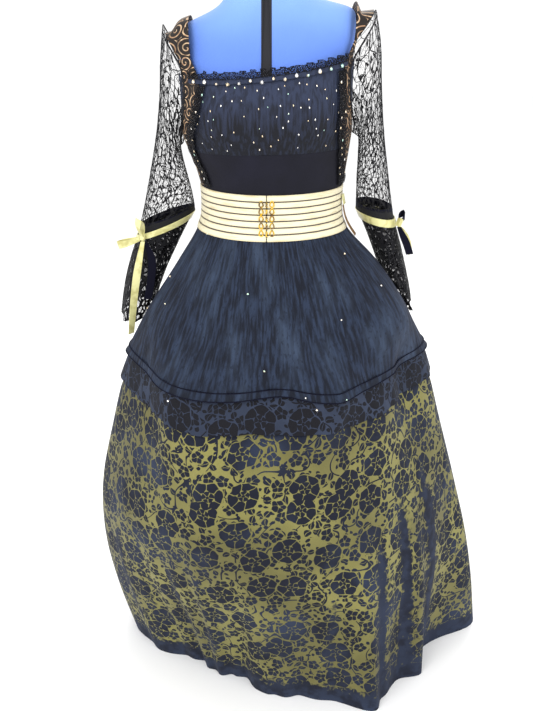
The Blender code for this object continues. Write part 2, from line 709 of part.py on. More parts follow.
def make_trim(side, tag):
    """Ruched strip along the front edge of the shrug, waved outward."""
    levels = TRIM_WAVES * 4
    rows = []
    for i in range(levels + 1):
        z = SHRUG_LEVELS[0] + 0.001 + (TRIM_TOP_Z - SHRUG_LEVELS[0]) * i / levels
        edge = shrug_edge(side, z)
        lift = TRIM_WAVE * (1 - math.cos(2 * math.pi * i / 4)) / 2
        row = []
        for across, rise in ((-TRIM_WIDTH * 0.75, 0.2), (TRIM_WIDTH * 0.25, 0.6)):
            x = edge + side * across
            bearing = front_bearing(z, x)
            out = SHRUG_OFFSET + TRIM_OUT + 0.0008 * rise + lift
            row.append(polar(bearing, bodice_reach(bearing, z) + out, z))
        if side < 0:
            row.reverse()
        rows.append(row)
    cloth("shrug_trim_" + tag, rows, BLACK_LACE, wall=0.0010)


def make_neckline():
    """Narrow band along the top edge and the standing ruffle on it."""
    start, end = front_bearing(1.25, -RUFFLE_END_RIGHT), front_bearing(1.25, RUFFLE_END_LEFT)
    columns = 20
    rows = [[], []]
    for c in range(columns + 1):
        bearing = start + (end - start) * c / columns
        x = bodice_reach(bearing, 1.25) * math.cos(math.radians(bearing))
        top = neckline_z(x)
        for row, z in zip(rows, (top - NECK_BAND_HEIGHT, top)):
            row.append(polar(bearing, bodice_reach(bearing, z) + NECK_BAND_OUT, z))
    cloth("neck_band", rows, NAVY_GATHERED, wall=0.0012)
    columns = RUFFLE_WAVES * 4
    rows = [[], []]
    for c in range(columns + 1):
        bearing = start + (end - start) * c / columns
        x = bodice_reach(bearing, 1.25) * math.cos(math.radians(bearing))
        top = neckline_z(x) + SEAM
        wave = math.sin(math.pi * c / 2)
        for row, height, swing in zip(rows, (0.0, RUFFLE_HEIGHT), (0.35, 1.0)):
            out = RUFFLE_OUT + 0.0015 * swing + RUFFLE_WAVE * swing * wave
            base = bodice_reach(bearing, top)
            row.append(polar(bearing, base + out, top + height))
    cloth("neck_ruffle", rows, BLACK_LACE, wall=0.0010)


def belt_inner_reach(bearing, z):
    if z > WAIST_Z:
        return bodice_reach(bearing, z) + 0.0016 + 0.0016 * smoothstep(1.02, WAIST_Z, z)
    return overskirt_reach(bearing, z) + BELT_INNER_GAP


def belt_profile(bearing):
    """Section of the belt: plain inside, a raised tuck in each stripe outside."""
    pitch = (BELT_HIGH - BELT_LOW) / BELT_TUCKS
    inner_levels = (BELT_HIGH, 1.020, WAIST_Z, BELT_LOW)
    loop = [polar(bearing, belt_inner_reach(bearing, z), z) for z in inner_levels]
    for i in range(BELT_TUCKS):
        z = BELT_LOW + pitch * i
        base = belt_inner_reach(bearing, z) + BELT_WALL
        loop.append(polar(bearing, base, z))
        z += pitch / 2
        base = belt_inner_reach(bearing, z) + BELT_WALL + TUCK_RISE
        loop.append(polar(bearing, base, z))
    loop.append(polar(bearing, belt_inner_reach(bearing, BELT_HIGH) + BELT_WALL, BELT_HIGH))
    return loop


def belt_outer_reach(bearing, z):
    return belt_inner_reach(bearing, z) + BELT_WALL + TUCK_RISE


def make_belt():
    """Two halves that meet at the clasps in front and at the back."""
    inside = list(range(-80, 90, BELT_STEP))
    stations = [90 - BELT_END_ANGLE] + inside[::-1] + [-90 + BELT_END_ANGLE]
    for tag, turn in (("left", 0), ("right", 180)):
        loops = [belt_profile((b + turn) % 360) for b in stations]
        loft("belt_" + tag, loops, CREAM_CLOTH)
    for i in range(CLASP_ROWS):
        z = CLASP_TOP_Z - CLASP_PITCH * i
        for side, tag in ((-1, "eye"), (1, "hook")):
            x = side * CLASP_OFFSET
            bearing = 270 + math.degrees(math.atan2(x, 0.118))
            y = -(belt_outer_reach(bearing, z) + CLASP_WIRE)
            bpy.ops.mesh.primitive_torus_add(
                major_segments=8, minor_segments=3, major_radius=CLASP_RADIUS,
                minor_radius=CLASP_WIRE, location=(x, y, z),
                rotation=(math.radians(90), 0, 0),
            )
            made = adopt("belt_clasp_%s_%d" % (tag, i + 1), CLASP_GOLD)
            made.scale = (1.35, 1.0, 1.0)


def ring_at(rows, position):
    count = len(rows) - 1
    table = [(float(i),) + tuple(row) for i, row in enumerate(rows)]
    return smooth_rows(table, min(max(position, 0.0), count))


def outline_reach(bearing, z):
    """Outermost cloth of body, belt and skirts at a height."""
    if z > BELT_HIGH + 0.004:
        return bodice_reach(bearing, z) + SHRUG_OFFSET
    if z > BELT_LOW:
        return belt_outer_reach(bearing, z)
    if z > OVERSKIRT_HEM_Z:
        return max(overskirt_reach(bearing, z), belt_outer_reach(bearing, BELT_LOW))
    return flounce_reach(bearing, z)


def clear_of_body(point, margin):
    """The point, moved out sideways where it would lie in the body's cloth."""
    bearing = math.degrees(math.atan2(point.y, point.x)) % 360
    reach = math.hypot(point.x, point.y)
    level = point.z - (lean(point.x, point.z) - point.z)
    least = outline_reach(bearing, level) + margin
    if reach >= least:
        return point
    return Vector((point.x * least / reach, point.y * least / reach, point.z))


def sleeve_point(side, rows, position, angle, out=0.0, margin=SLEEVE_MARGIN):
    """Point of a sleeve ring. Angle 0 is the outer side, 90 the front."""
    outer_x, outer_z, inner_x, inner_z, middle_y, half = ring_at(rows, position)
    turn = math.radians(angle)
    centre = Vector(((outer_x + inner_x) / 2, middle_y, (outer_z + inner_z) / 2))
    major = Vector(((outer_x - inner_x) / 2, 0, (outer_z - inner_z) / 2))
    spoke = major * math.cos(turn) + Vector((0, -half, 0)) * math.sin(turn)
    spoke += spoke.normalized() * out
    point = centre + spoke
    if rows in (SLEEVE_RIGHT, SLEEVE_LEFT) and position < 3:
        point.x -= ARMHOLE_HUG * (1 - position / 3) ** 2 * math.sin(turn) ** 4
    point.x *= side
    if rows in (SLEEVE_RIGHT, SLEEVE_LEFT):
        margin = ARMHOLE_MARGIN + (margin - ARMHOLE_MARGIN) * min(position, 1.0)
    return clear_of_body(point, margin + out)


def around(side, angle):
    """Angles run anticlockwise seen from above on both arms."""
    return angle if side < 0 else -angle


def make_sleeves():
    """Lace sleeves in front and back halves, with the larger gaps cut through."""
    for side, tag, rows in ((-1, "right", SLEEVE_RIGHT), (1, "left", SLEEVE_LEFT)):
        half = SLEEVE_COLUMNS // 2
        for part, start in (("front", 0.0), ("back", 180.0)):
            grid = []
            for r in range(len(rows) - 1, -1, -1):
                line = []
                for c in range(half + 1):
                    angle = start + SLEEVE_SPLIT + (180.0 - 2 * SLEEVE_SPLIT) * c / half
                    line.append(sleeve_point(side, rows, r, angle))
                if side > 0:
                    line.reverse()
                grid.append(line)
            cells = {}
            for r in range(len(rows) - 1):
                for c in range(half):
                    outward = c if (part == "front") == (side < 0) else half - 1 - c
                    if outward > 4 or (2 * r + c) % 4 == 0:
                        continue
                    jitter = 0.05 * math.sin(7.3 * r + 3.1 * c + side)
                    cells[(r, c)] = (LACE_MARGIN_SIDE + jitter, LACE_MARGIN_END - jitter)
            cloth("sleeve_%s_%s" % (tag, part), grid, BLACK_LACE, open_cells=cells)


def make_cuffs():
    """Flared cuffs whose waves grow towards the hem, with velvet and satin bands."""
    for side, tag, rows in ((-1, "right", CUFF_RIGHT), (1, "left", CUFF_LEFT)):
        grid = []
        last = len(rows) - 1
        for r in range(last, -1, -1):
            line = []
            for c in range(CUFF_COLUMNS):
                angle = around(side, 360.0 * c / CUFF_COLUMNS)
                wave = CUFF_WAVE * math.cos(math.radians(angle * CUFF_WAVES)) * r / last
                line.append(sleeve_point(side, rows, r, angle, out=wave, margin=0.0065))
            grid.append(line)
        cloth("cuff_" + tag, grid, BLACK_LACE, closed=True)
        sleeve_rows = SLEEVE_RIGHT if side < 0 else SLEEVE_LEFT
        bands = (
            ("velvet_band_", sleeve_rows, 6.66, 6.94, SLEEVE_COLUMNS, BAND_OUT, BLACK_VELVET),
            ("cream_ribbon_", rows, 0.05, 0.32, CUFF_COLUMNS, RIBBON_OUT, CREAM_SATIN),
        )
        for name, base, low, high, columns, out, look in bands:
            grid = []
            for position in (high, low):
                line = []
                for c in range(columns):
                    angle = around(side, 360.0 * c / columns)
                    line.append(sleeve_point(side, base, position, angle, out=out))
                grid.append(line)
            cloth(name + tag, grid, look, wall=0.0010, closed=True)


def strip(name, path, widths, look, wall=0.0010):
    """Ribbon along a path, with the direction and size of its width at each point."""
    low = [point - width / 2 for point, width in zip(path, widths)]
    high = [point + width / 2 for point, width in zip(path, widths)]
    return cloth(name, [low, high], look, wall=wall)


def curve_through(points, steps):
    table = [(float(i),) + tuple(p) for i, p in enumerate(points)]
    count = len(points) - 1
    return [Vector(smooth_rows(table, count * s / steps)) for s in range(steps + 1)]


# Bows: angle round the cuff, tip of each loop and path of each tail, both from the knot
BOW_RIGHT = {
    "angle": 55.0,
    "loops": ((-0.046, -0.006, -0.012), (-0.002, -0.020, 0.040)),
    "tails": (
        ((0.0, -0.005, -0.011), (-0.012, -0.012, -0.060), (-0.022, -0.016, -0.120),
         (-0.032, -0.014, -0.190)),
        ((0.004, 0.003, -0.011), (0.016, -0.002, -0.040), (0.012, -0.014, -0.085),
         (0.006, -0.022, -0.115)),
    ),
}
BOW_LEFT = {
    "angle": 25.0,
    "loops": ((-0.004, -0.032, 0.010), (0.012, 0.028, 0.012)),
    "tails": (
        ((0.004, 0.002, -0.011), (0.018, 0.004, -0.032), (0.028, 0.004, -0.062)),
        ((0.001, -0.003, -0.011), (0.014, -0.016, -0.034), (0.022, -0.018, -0.056)),
    ),
}
KNOT_SIZE, KNOT_POSITION = 0.013, 0.18
LOOP_WIDTH, LOOP_OPENING = 0.016, 0.010
TAIL_WIDTH = 0.015
# Shape of a loop: share of the way to the tip, share of the opening
LOOP_SHAPE = (
    (0.0, 0.25),
    (0.35, 0.9),
    (0.75, 1.0),
    (1.0, 0.0),
    (0.75, -1.0),
    (0.35, -0.9),
    (0.0, -0.25),
)


def make_bows():
    """A knot, two loops and two tails on the outer front of each cuff."""
    sides = ((-1, "right", CUFF_RIGHT, BOW_RIGHT), (1, "left", CUFF_LEFT, BOW_LEFT))
    for side, tag, rows, bow in sides:
        out = RIBBON_OUT + SEAM + KNOT_SIZE / 2
        seat = sleeve_point(side, rows, KNOT_POSITION, bow["angle"])
        knot = sleeve_point(side, rows, KNOT_POSITION, bow["angle"], out=out)
        outward = (knot - seat).normalized()
        bpy.ops.mesh.primitive_uv_sphere_add(
            segments=8, ring_count=5, radius=KNOT_SIZE / 2, location=knot
        )
        adopt("bow_knot_" + tag, CREAM_SATIN)
        for i, tip in enumerate(bow["loops"]):
            tip = Vector(tip)
            facing = (outward - tip * (outward.dot(tip) / tip.length_squared)).normalized()
            across = tip.cross(facing).normalized()
            root = tip.normalized() * (KNOT_SIZE / 2 + SEAM)
            points = [
                knot + root + (tip - root) * along + facing * (LOOP_OPENING / 2 * open_by)
                for along, open_by in LOOP_SHAPE
            ]
            path = curve_through(points, 8)
            widths = []
            for point in path:
                spread = min((point - knot).length / tip.length, 1.0)
                widths.append(across * LOOP_WIDTH * (0.35 + 0.65 * spread))
            look = CREAM_SATIN if i == 0 or side < 0 else BLACK_VELVET
            strip("bow_loop_%s_%d" % (tag, i + 1), path, widths, look)
        for i, tail in enumerate(bow["tails"]):
            points = [knot + Vector(p) for p in tail]
            points[0] = knot + Vector(tail[0]).normalized() * (KNOT_SIZE / 2 + SEAM)
            path = curve_through(points, 6)
            twist = 0.9 if i == 0 else 0.3
            widths = []
            for s in range(len(path)):
                turn = twist * s / (len(path) - 1)
                size = TAIL_WIDTH * min(0.5 + 1.5 * s / (len(path) - 1), 1.0)
                widths.append(Vector((math.cos(turn), math.sin(turn), 0)) * size)
            look = CREAM_SATIN if i == 0 else BLACK_VELVET
            strip("bow_tail_%s_%d" % (tag, i + 1), path, widths, look)


def skirt_rows(reach, levels):
    return [[polar(b, reach(b, z), z) for b in bearings()] for z in levels]


def make_skirts():
    """Skirt, flounce and overskirt, each inside the next, with their rows at one height."""
    upper = (FLOUNCE_SEAM_Z, 0.90, BELT_LOW, WAIST_Z - 0.0005)
    levels = (FLOOR_CLEARANCE, 0.14, 0.28, 0.42, 0.55, FLOUNCE_HEM_Z, OVERSKIRT_HEM_Z) + upper
    cloth("skirt", skirt_rows(skirt_reach, levels), OLIVE_GOLD, closed=True)
    levels = (FLOUNCE_HEM_Z, OVERSKIRT_HEM_Z, FLOUNCE_SEAM_Z)
    cloth("flounce", skirt_rows(flounce_reach, levels), NAVY_DEVORE, wall=0.0010, closed=True)
    levels = (OVERSKIRT_HEM_Z + BINDING_HEIGHT,) + upper
    cloth("overskirt", skirt_rows(overskirt_reach, levels), NAVY_LACE, closed=True)
    levels = (OVERSKIRT_HEM_Z, OVERSKIRT_HEM_Z + BINDING_HEIGHT - 2 * SEAM)
    cloth(
        "overskirt_binding", skirt_rows(binding_reach, levels), BLACK_VELVET,
        wall=BINDING_WALL, closed=True,
    )


def make_belt_ends():
    """Loose cream end of the tie and a bronze strip at the wearer's left of the belt."""
    base = 352.0
    for name, z_high, z_low, turn, look in (
        ("belt_tie_end", 1.036, 1.018, -3.0, CREAM_SATIN),
        ("belt_side_strip", 1.014, 0.958, 1.5, BRONZE_STRIP),
    ):
        rows = []
        for share in (0.0, 0.35, 0.7, 1.0):
            z = z_low + (z_high - z_low) * share
            row = []
            for across in (-3.2, 0.0, 3.2):
                bearing = base + turn + across
                out = belt_outer_reach(bearing, max(z, BELT_LOW)) + 0.0014 + 0.004 * (1 - share)
                row.append(polar(bearing, out + max(BELT_LOW + 0.006 - z, 0.0) * 0.5, z))
            rows.append(row)
        cloth(name, rows, look, wall=0.0010)


clear_scene()
PARTS = new_collection()
make_dress_form()
make_neck_cap()
make_stand()
make_bodice()
make_neckline()
make_shrug()
make_sleeves()
make_cuffs()
make_bows()
make_skirts()
make_belt()
make_belt_ends()
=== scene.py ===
"""Looks of a period costume dress with a lace-sleeved shrug, on its dress form."""
import math
import random

import bmesh
import bpy
import numpy as np
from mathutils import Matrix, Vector
from mathutils.bvhtree import BVHTree


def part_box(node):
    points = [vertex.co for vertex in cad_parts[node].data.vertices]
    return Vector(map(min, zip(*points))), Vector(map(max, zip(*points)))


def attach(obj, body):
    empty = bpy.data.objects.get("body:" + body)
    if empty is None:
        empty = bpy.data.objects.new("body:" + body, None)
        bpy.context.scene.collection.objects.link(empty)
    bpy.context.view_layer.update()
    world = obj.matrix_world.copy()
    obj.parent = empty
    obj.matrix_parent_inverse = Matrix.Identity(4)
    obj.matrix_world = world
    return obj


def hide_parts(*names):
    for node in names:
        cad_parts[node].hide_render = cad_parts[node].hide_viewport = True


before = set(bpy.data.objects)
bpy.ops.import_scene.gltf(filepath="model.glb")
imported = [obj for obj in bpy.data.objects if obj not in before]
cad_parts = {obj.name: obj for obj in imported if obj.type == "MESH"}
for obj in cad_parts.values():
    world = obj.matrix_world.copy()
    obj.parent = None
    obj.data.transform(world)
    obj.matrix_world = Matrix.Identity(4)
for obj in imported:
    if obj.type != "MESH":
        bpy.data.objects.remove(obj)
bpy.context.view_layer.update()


# Studio
# A pale floor, three soft lamps and the camera, which looks down at the dress
# from just above shoulder height, as in the photograph.
CAMERA_PLACE = (0.0, -1.5, 1.362)
CAMERA_TILT = 23.8
LENS, SENSOR = 40.9, 36.0
FLOOR_SIZE = 24.0
LAMP_AIM = (0.0, 0.0, 0.8)
WORLD_LIGHT = 1.08
# Name, place, power and size of each lamp
LAMPS = (
    ("key", (-1.6, -2.4, 2.9), 60.0, 1.8),
    ("fill", (1.9, -2.2, 1.7), 30.0, 2.2),
    ("back", (0.3, 2.0, 2.6), 45.0, 2.0),
)


def placed(name, data):
    """A new object in the scene."""
    item = bpy.data.objects.new(name, data)
    bpy.context.scene.collection.objects.link(item)
    return item


camera = placed("camera", bpy.data.cameras.new("camera"))
camera.data.lens, camera.data.sensor_width = LENS, SENSOR
camera.location = CAMERA_PLACE
camera.rotation_euler = (math.radians(90 - CAMERA_TILT), 0, 0)
bpy.context.scene.camera = camera

for lamp_name, place, power, size in LAMPS:
    lamp = placed(lamp_name, bpy.data.lights.new(lamp_name, "AREA"))
    lamp.data.energy, lamp.data.size = power, size
    lamp.location = place
    aim = Vector(LAMP_AIM) - Vector(place)
    lamp.rotation_euler = aim.to_track_quat("-Z", "Y").to_euler()

world = bpy.data.worlds.new("studio")
bpy.context.scene.world = world
world.use_nodes = True
sky = world.node_tree.nodes["Background"]
sky.inputs["Color"].default_value = (1.0, 1.0, 1.0, 1.0)
sky.inputs["Strength"].default_value = WORLD_LIGHT
bpy.context.scene.view_settings.view_transform = "Standard"


class Finish:
    """One material, with short calls for the sums that make its pattern."""

    def __init__(self, name, colour, roughness, **sockets):
        self.material = bpy.data.materials.new(name)
        self.material.use_nodes = True
        self.tree = self.material.node_tree
        self.shader = self.tree.nodes["Principled BSDF"]
        self.put(self.shader, "Base Color", (*colour, 1.0))
        self.put(self.shader, "Roughness", roughness)
        for socket, value in sockets.items():
            self.put(self.shader, socket.replace("_", " "), value)

    def put(self, node, socket, value):
        if isinstance(value, bpy.types.NodeSocket):
            self.tree.links.new(value, node.inputs[socket])
        else:
            node.inputs[socket].default_value = value

    def add(self, kind, settings=(), **inputs):
        node = self.tree.nodes.new("ShaderNode" + kind)
        for setting, value in dict(settings).items():
            setattr(node, setting, value)
        for socket, value in inputs.items():
            self.put(node, socket.replace("_", " "), value)
        return node

    def calc(self, operation, *values):
        node = self.add("Math", {"operation": operation})
        for index, value in enumerate(values):
            self.put(node, index, value)
        return node.outputs[0]

    def plus(self, first, second):
        return self.calc("ADD", first, second)

    def minus(self, first, second):
        return self.calc("SUBTRACT", first, second)

    def times(self, first, second):
        return self.calc("MULTIPLY", first, second)

    def vectors(self, operation, first, second):
        node = self.add("VectorMath", {"operation": operation})
        self.put(node, 0, first)
        self.put(node, 1, second)
        return node.outputs[0]

    def where(self):
        """Place on the piece, in metres."""
        return self.add("TexCoord").outputs["Object"]

    def axes(self, vector=None):
        """X, Y and Z of a vector, or of the place on the piece."""
        return self.add("SeparateXYZ", Vector=vector or self.where()).outputs

    def polar(self, vector):
        """Length of a flat vector, and its angle."""
        x, y, _ = self.axes(vector)
        squares = self.plus(self.times(x, x), self.times(y, y))
        return self.calc("SQRT", squares), self.calc("ARCTAN2", y, x)

    def round_the_body(self, radius):
        """Place on the cloth, in metres round the body from the centre front and upwards."""
        x, y, z = self.axes()
        bearing = self.calc("ARCTAN2", x, self.times(y, -1.0))
        return self.add("CombineXYZ", X=self.times(bearing, radius), Y=z).outputs[0]

    def noise(self, scale, detail=2.0, stretch=(1.0, 1.0, 1.0), vector=None):
        vector = self.vectors("MULTIPLY", vector or self.where(), stretch)
        return self.add("TexNoise", Vector=vector, Scale=scale, Detail=detail).outputs["Fac"]

    def ramp(self, value, low, high, start=0.0, end=1.0):
        """The value, from low to high, as a smooth step from start to end."""
        node = self.add("MapRange", {"interpolation_type": "SMOOTHSTEP"})
        for index, number in enumerate((value, low, high, start, end)):
            self.put(node, index, number)
        return node.outputs[0]

    def mix(self, share, first, second):
        node = self.add("Mix", {"data_type": "RGBA"})
        self.put(node, 0, share)
        for index, colour in ((6, first), (7, second)):
            self.put(node, index, (*colour, 1.0) if isinstance(colour, tuple) else colour)
        return node.outputs[2]

    def bump(self, height, depth, strength=1.0):
        node = self.add("Bump", Strength=strength, Distance=depth, Height=height)
        self.put(self.shader, "Normal", node.outputs["Normal"])

    def colour(self, value):
        self.put(self.shader, "Base Color", value)

    def weave(self, depth=0.0002, scale=900.0):
        """Fine crossed threads as bump."""
        x, y, z = self.axes()
        across = self.calc("SINE", self.times(self.plus(x, y), scale * 2))
        up = self.calc("SINE", self.times(z, scale * 2))
        threads = self.times(across, up)
        self.bump(self.plus(self.times(threads, 0.25), self.noise(scale / 4)), depth)


floor_shape = bmesh.new()
bmesh.ops.create_grid(floor_shape, x_segments=8, y_segments=8, size=FLOOR_SIZE / 2)
floor_mesh = bpy.data.meshes.new("floor")
floor_shape.to_mesh(floor_mesh)
floor_shape.free()
floor = placed("floor", floor_mesh)
floor_finish = Finish("floor", (0.95, 0.95, 0.95), 0.9)
floor_finish.bump(floor_finish.noise(40.0, 4.0), 0.001, 0.1)
floor_mesh.materials.append(floor_finish.material)


# Dress form
# A padded torso covered in cornflower blue jersey, split at the centre front for its
# width setting, on a steel pole with a black turned foot.
FORM_BLUE, FORM_PAINTED_LIGHT, FORM_SHADE = (0.105, 0.215, 0.66), (0.26, 0.46, 0.86), (0.06, 0.13, 0.45)
FORM_SPLIT_SHADOW, FOOT_BLACK, STEEL = (0.010, 0.010, 0.014), (0.02, 0.02, 0.022), (0.55, 0.56, 0.58)
FORM_SPLIT = 0.0088
WELD = 0.00003
SHARP = math.radians(50)


def finer(node, finish, slot, levels=2, crisp=50.0):
    """A copy of a solid with its facets rounded off and its rims kept crisp."""
    shape = bmesh.new()
    shape.from_mesh(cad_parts[node].data)
    bmesh.ops.remove_doubles(shape, verts=shape.verts, dist=WELD)
    bmesh.ops.join_triangles(
        shape, faces=shape.faces, angle_face_threshold=math.radians(35),
        angle_shape_threshold=math.radians(70),
    )
    crease = shape.edges.layers.float.new("crease_edge")
    for edge in shape.edges:
        if len(edge.link_faces) == 2 and edge.calc_face_angle() > math.radians(crisp):
            edge[crease] = 1.0
    mesh = bpy.data.meshes.new(node + "_cloth")
    shape.to_mesh(mesh)
    shape.free()
    piece = placed(mesh.name, mesh)
    smooth = piece.modifiers.new("smooth", "SUBSURF")
    smooth.levels = smooth.render_levels = levels
    return dressed(piece, finish, slot, node)


def dressed(piece, finish, slot, *nodes):
    """Give a piece its finish, and let it stand for its solids. The slot is not used."""
    piece.data.materials.clear()
    piece.data.materials.append(finish.material)
    piece.data.shade_smooth()
    piece.data.set_sharp_from_angle(angle=SHARP)
    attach(piece, "root")
    if nodes:
        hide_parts(*nodes)
    return piece


jersey = Finish("form_jersey", FORM_BLUE, 0.85, Sheen_Weight=0.05)
form_x, form_y, form_z = jersey.axes()
# Painted light: the jersey is drawn paler towards the top of the form, where the light falls on
# the shoulders and neck.
painted_light_top = jersey.ramp(form_z, 1.27, 1.42)
tint = jersey.mix(painted_light_top, FORM_BLUE, FORM_PAINTED_LIGHT)
tint = jersey.mix(jersey.ramp(jersey.noise(9.0, 3.0), 0.35, 0.75, 0.0, 0.2), tint, FORM_SHADE)
# Painted shadow: a dark strip down the centre front stands for the shade inside the split between
# the form's halves.
in_front = jersey.calc("LESS_THAN", form_y, 0.0)
split_shadow_band = jersey.calc("LESS_THAN", jersey.calc("ABSOLUTE", form_x), FORM_SPLIT)
jersey.colour(jersey.mix(jersey.times(in_front, split_shadow_band), tint, FORM_SPLIT_SHADOW))
jersey.weave(0.00025)
finer("dress_form", jersey, "form_cloth", crisp=55)
finer("form_neck_cap", jersey, "form_cloth", crisp=40)

black_paint = Finish("foot_paint", FOOT_BLACK, 0.4, Coat_Weight=0.3)
black_paint.bump(black_paint.noise(300.0), 0.0002, 0.3)
finer("stand_base", black_paint, "stand_black", levels=1, crisp=30)
steel = Finish("pole_steel", STEEL, 0.3, Metallic=1.0)
steel.bump(steel.noise(60.0, 2.0, (40.0, 40.0, 1.0)), 0.0001, 0.4)
finer("stand_pole", steel, "pole_steel", levels=1, crisp=40)


# Bodice
# A plain black-navy stretch midriff and back, and a bust panel of sheer navy net gathered
# over black, scattered with small drop sequins and edged with a beaded band.
NAVY_SHEER, NAVY_DEEP = (0.022, 0.030, 0.062), (0.0035, 0.004, 0.008)
BODICE_BLACK, BODICE_NAVY = (0.004, 0.004, 0.009), (0.007, 0.007, 0.016)
NAVY_SHEEN = (0.35, 0.45, 0.75, 1.0)
CRYSTAL, CRYSTAL_CLEAR, CRYSTAL_GOLD, CRYSTAL_GREEN = (
    (0.92, 0.88, 0.80), (0.95, 0.93, 0.9), (0.9, 0.72, 0.48), (0.5, 0.75, 0.65)
)
BUST_LOW_Z, BUST_HIGH_Z = 1.12, 1.25
SEQUIN_COUNT, SEQUIN_APART, SEQUIN_BEARINGS, SEQUIN_SEED = 78, 0.0115, (206, 334), 11
SEQUIN_SIZE = (0.0017, 0.00095, 0.0006)
BAND_BEADS, BAND_BEAD_RADIUS, BAND_BEAD_INSET = 14, 0.0029, 0.012
IN_FRONT_Y, SEARCH_STEPS = -0.5, 60


def surface_of(*nodes):
    """The outside of some solids, to find places on."""
    points, faces = [], []
    for node in nodes:
        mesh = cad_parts[node].data
        start = len(points)
        points += [vertex.co.copy() for vertex in mesh.vertices]
        faces += [[start + index for index in face.vertices] for face in mesh.polygons]
    return BVHTree.FromPolygons(points, faces)


def at_bearing(surface, bearing, z):
    """Outermost point of a surface at a bearing and height, and its normal."""
    direction = Vector((math.cos(math.radians(bearing)), math.sin(math.radians(bearing)), 0.0))
    place, normal, _, _ = surface.ray_cast(direction + Vector((0, 0, z)), -direction)
    if place is not None and normal.dot(direction) < 0:
        normal = -normal
    return place, normal


def from_front(surface, x, z):
    """First point of a surface straight back from in front of the dress, and its normal."""
    return surface.ray_cast(Vector((x, IN_FRONT_Y, z)), Vector((0, 1, 0)))[:2]


def scatter(name, spots, radii, finish, slot, segments=6, rings=4, sink=0.15):
    """Small rounded beads or sequins, each on a spot with its normal, as one mesh."""
    shape = bmesh.new()
    for index, (place, normal) in enumerate(spots):
        made = bmesh.ops.create_uvsphere(
            shape, u_segments=segments, v_segments=rings, radius=1.0
        )["verts"]
        turn = normal.to_track_quat("Z", "Y")
        long, wide, thick = (radius * (1 + 0.18 * math.sin(index * 2.4)) for radius in radii)
        for vertex in made:
            taper = 1.0 - 0.35 * vertex.co.y
            local = Vector((vertex.co.x * wide * taper, vertex.co.y * long, vertex.co.z * thick))
            vertex.co = turn @ local + place + normal * thick * (1 - sink)
    mesh = bpy.data.meshes.new(name)
    shape.to_mesh(mesh)
    shape.free()
    return dressed(placed(name, mesh), finish, slot)


knit = Finish("black_navy_knit", BODICE_BLACK, 0.85, Sheen_Weight=0.02, Specular_IOR_Level=0.25)
knit.colour(knit.mix(knit.ramp(knit.noise(14.0, 3.0), 0.3, 0.7), BODICE_BLACK, BODICE_NAVY))
knit.weave(0.00015)
midriff = finer("midriff_front", knit, "black_cloth")
bodice_back = finer("bodice_back", knit, "black_cloth")

sheer = Finish(
    "gathered_net", NAVY_SHEER, 0.8, Sheen_Weight=0.05, Specular_IOR_Level=0.3,
    Sheen_Tint=NAVY_SHEEN,
)
streak = sheer.noise(30.0, 4.0, (7.0, 7.0, 0.7))
depth = sheer.ramp(sheer.axes()[2], BUST_LOW_Z + 0.01, BUST_HIGH_Z, 0.85, 0.0)
tone = sheer.plus(depth, sheer.ramp(streak, 0.36, 0.66, -0.22, 0.45))
sheer.colour(sheer.mix(tone, NAVY_SHEER, NAVY_DEEP))
sheer.bump(sheer.plus(streak, sheer.times(sheer.noise(700.0), 0.3)), 0.0016)
bust = finer("bust_panel", sheer, "navy_gathered")

crystal = Finish("crystal", CRYSTAL, 0.12, Metallic=0.75)
crystal_tone = crystal.noise(55.0, 0.0)
crystal_tint = crystal.mix(crystal.ramp(crystal_tone, 0.35, 0.55), CRYSTAL_CLEAR, CRYSTAL_GOLD)
crystal.colour(crystal.mix(crystal.ramp(crystal_tone, 0.56, 0.66), crystal_tint, CRYSTAL_GREEN))
bust_surface = surface_of("bust_panel")
draw = random.Random(SEQUIN_SEED)
spots = []
while len(spots) < SEQUIN_COUNT:
    bearing = draw.uniform(*SEQUIN_BEARINGS)
    z = BUST_LOW_Z + 0.004 + (BUST_HIGH_Z - BUST_LOW_Z - 0.014) * draw.random() ** 0.8
    place, normal = at_bearing(bust_surface, bearing, z)
    if place is None or any((place - other).length < SEQUIN_APART for other, _ in spots):
        continue
    spots.append((place, normal))
sequins = scatter("bust_sequins", spots, SEQUIN_SIZE, crystal, "navy_gathered")

band = finer("neck_band", sheer, "navy_gathered")
band_surface = surface_of("neck_band")
band_low, band_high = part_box("neck_band")
bead_span = band_high.x - band_low.x - 2 * BAND_BEAD_INSET
spots = []
for index in range(BAND_BEADS):
    x = band_low.x + BAND_BEAD_INSET + bead_span * index / (BAND_BEADS - 1)
    for step in range(SEARCH_STEPS):
        z = band_low.z + (band_high.z - band_low.z) * step / SEARCH_STEPS
        place, normal = from_front(band_surface, x, z)
        if place is not None:
            break
    if place is not None:
        spots.append((place + Vector((0, 0, 0.003)), normal))
band_beads = scatter(
    "neckline_beads", spots, (BAND_BEAD_RADIUS * 1.3, BAND_BEAD_RADIUS, BAND_BEAD_RADIUS),
    crystal, "navy_gathered", 7, 5,
)


# Net ruffle of the neckline
# A strip of black net gathered into standing loops along the neck band, with a corded
# edge. It is sewn behind the beads.
RUFFLE_LOOPS, RUFFLE_TALL, RUFFLE_SWING, RUFFLE_WALL = 16, 0.0135, 0.0048, 0.0005
RUFFLE_STEPS, RUFFLE_RISES, RUFFLE_ROWS, RUFFLE_CORD = 256, 80, 5, 0.0012
NET_BLACK = (0.006, 0.006, 0.008)


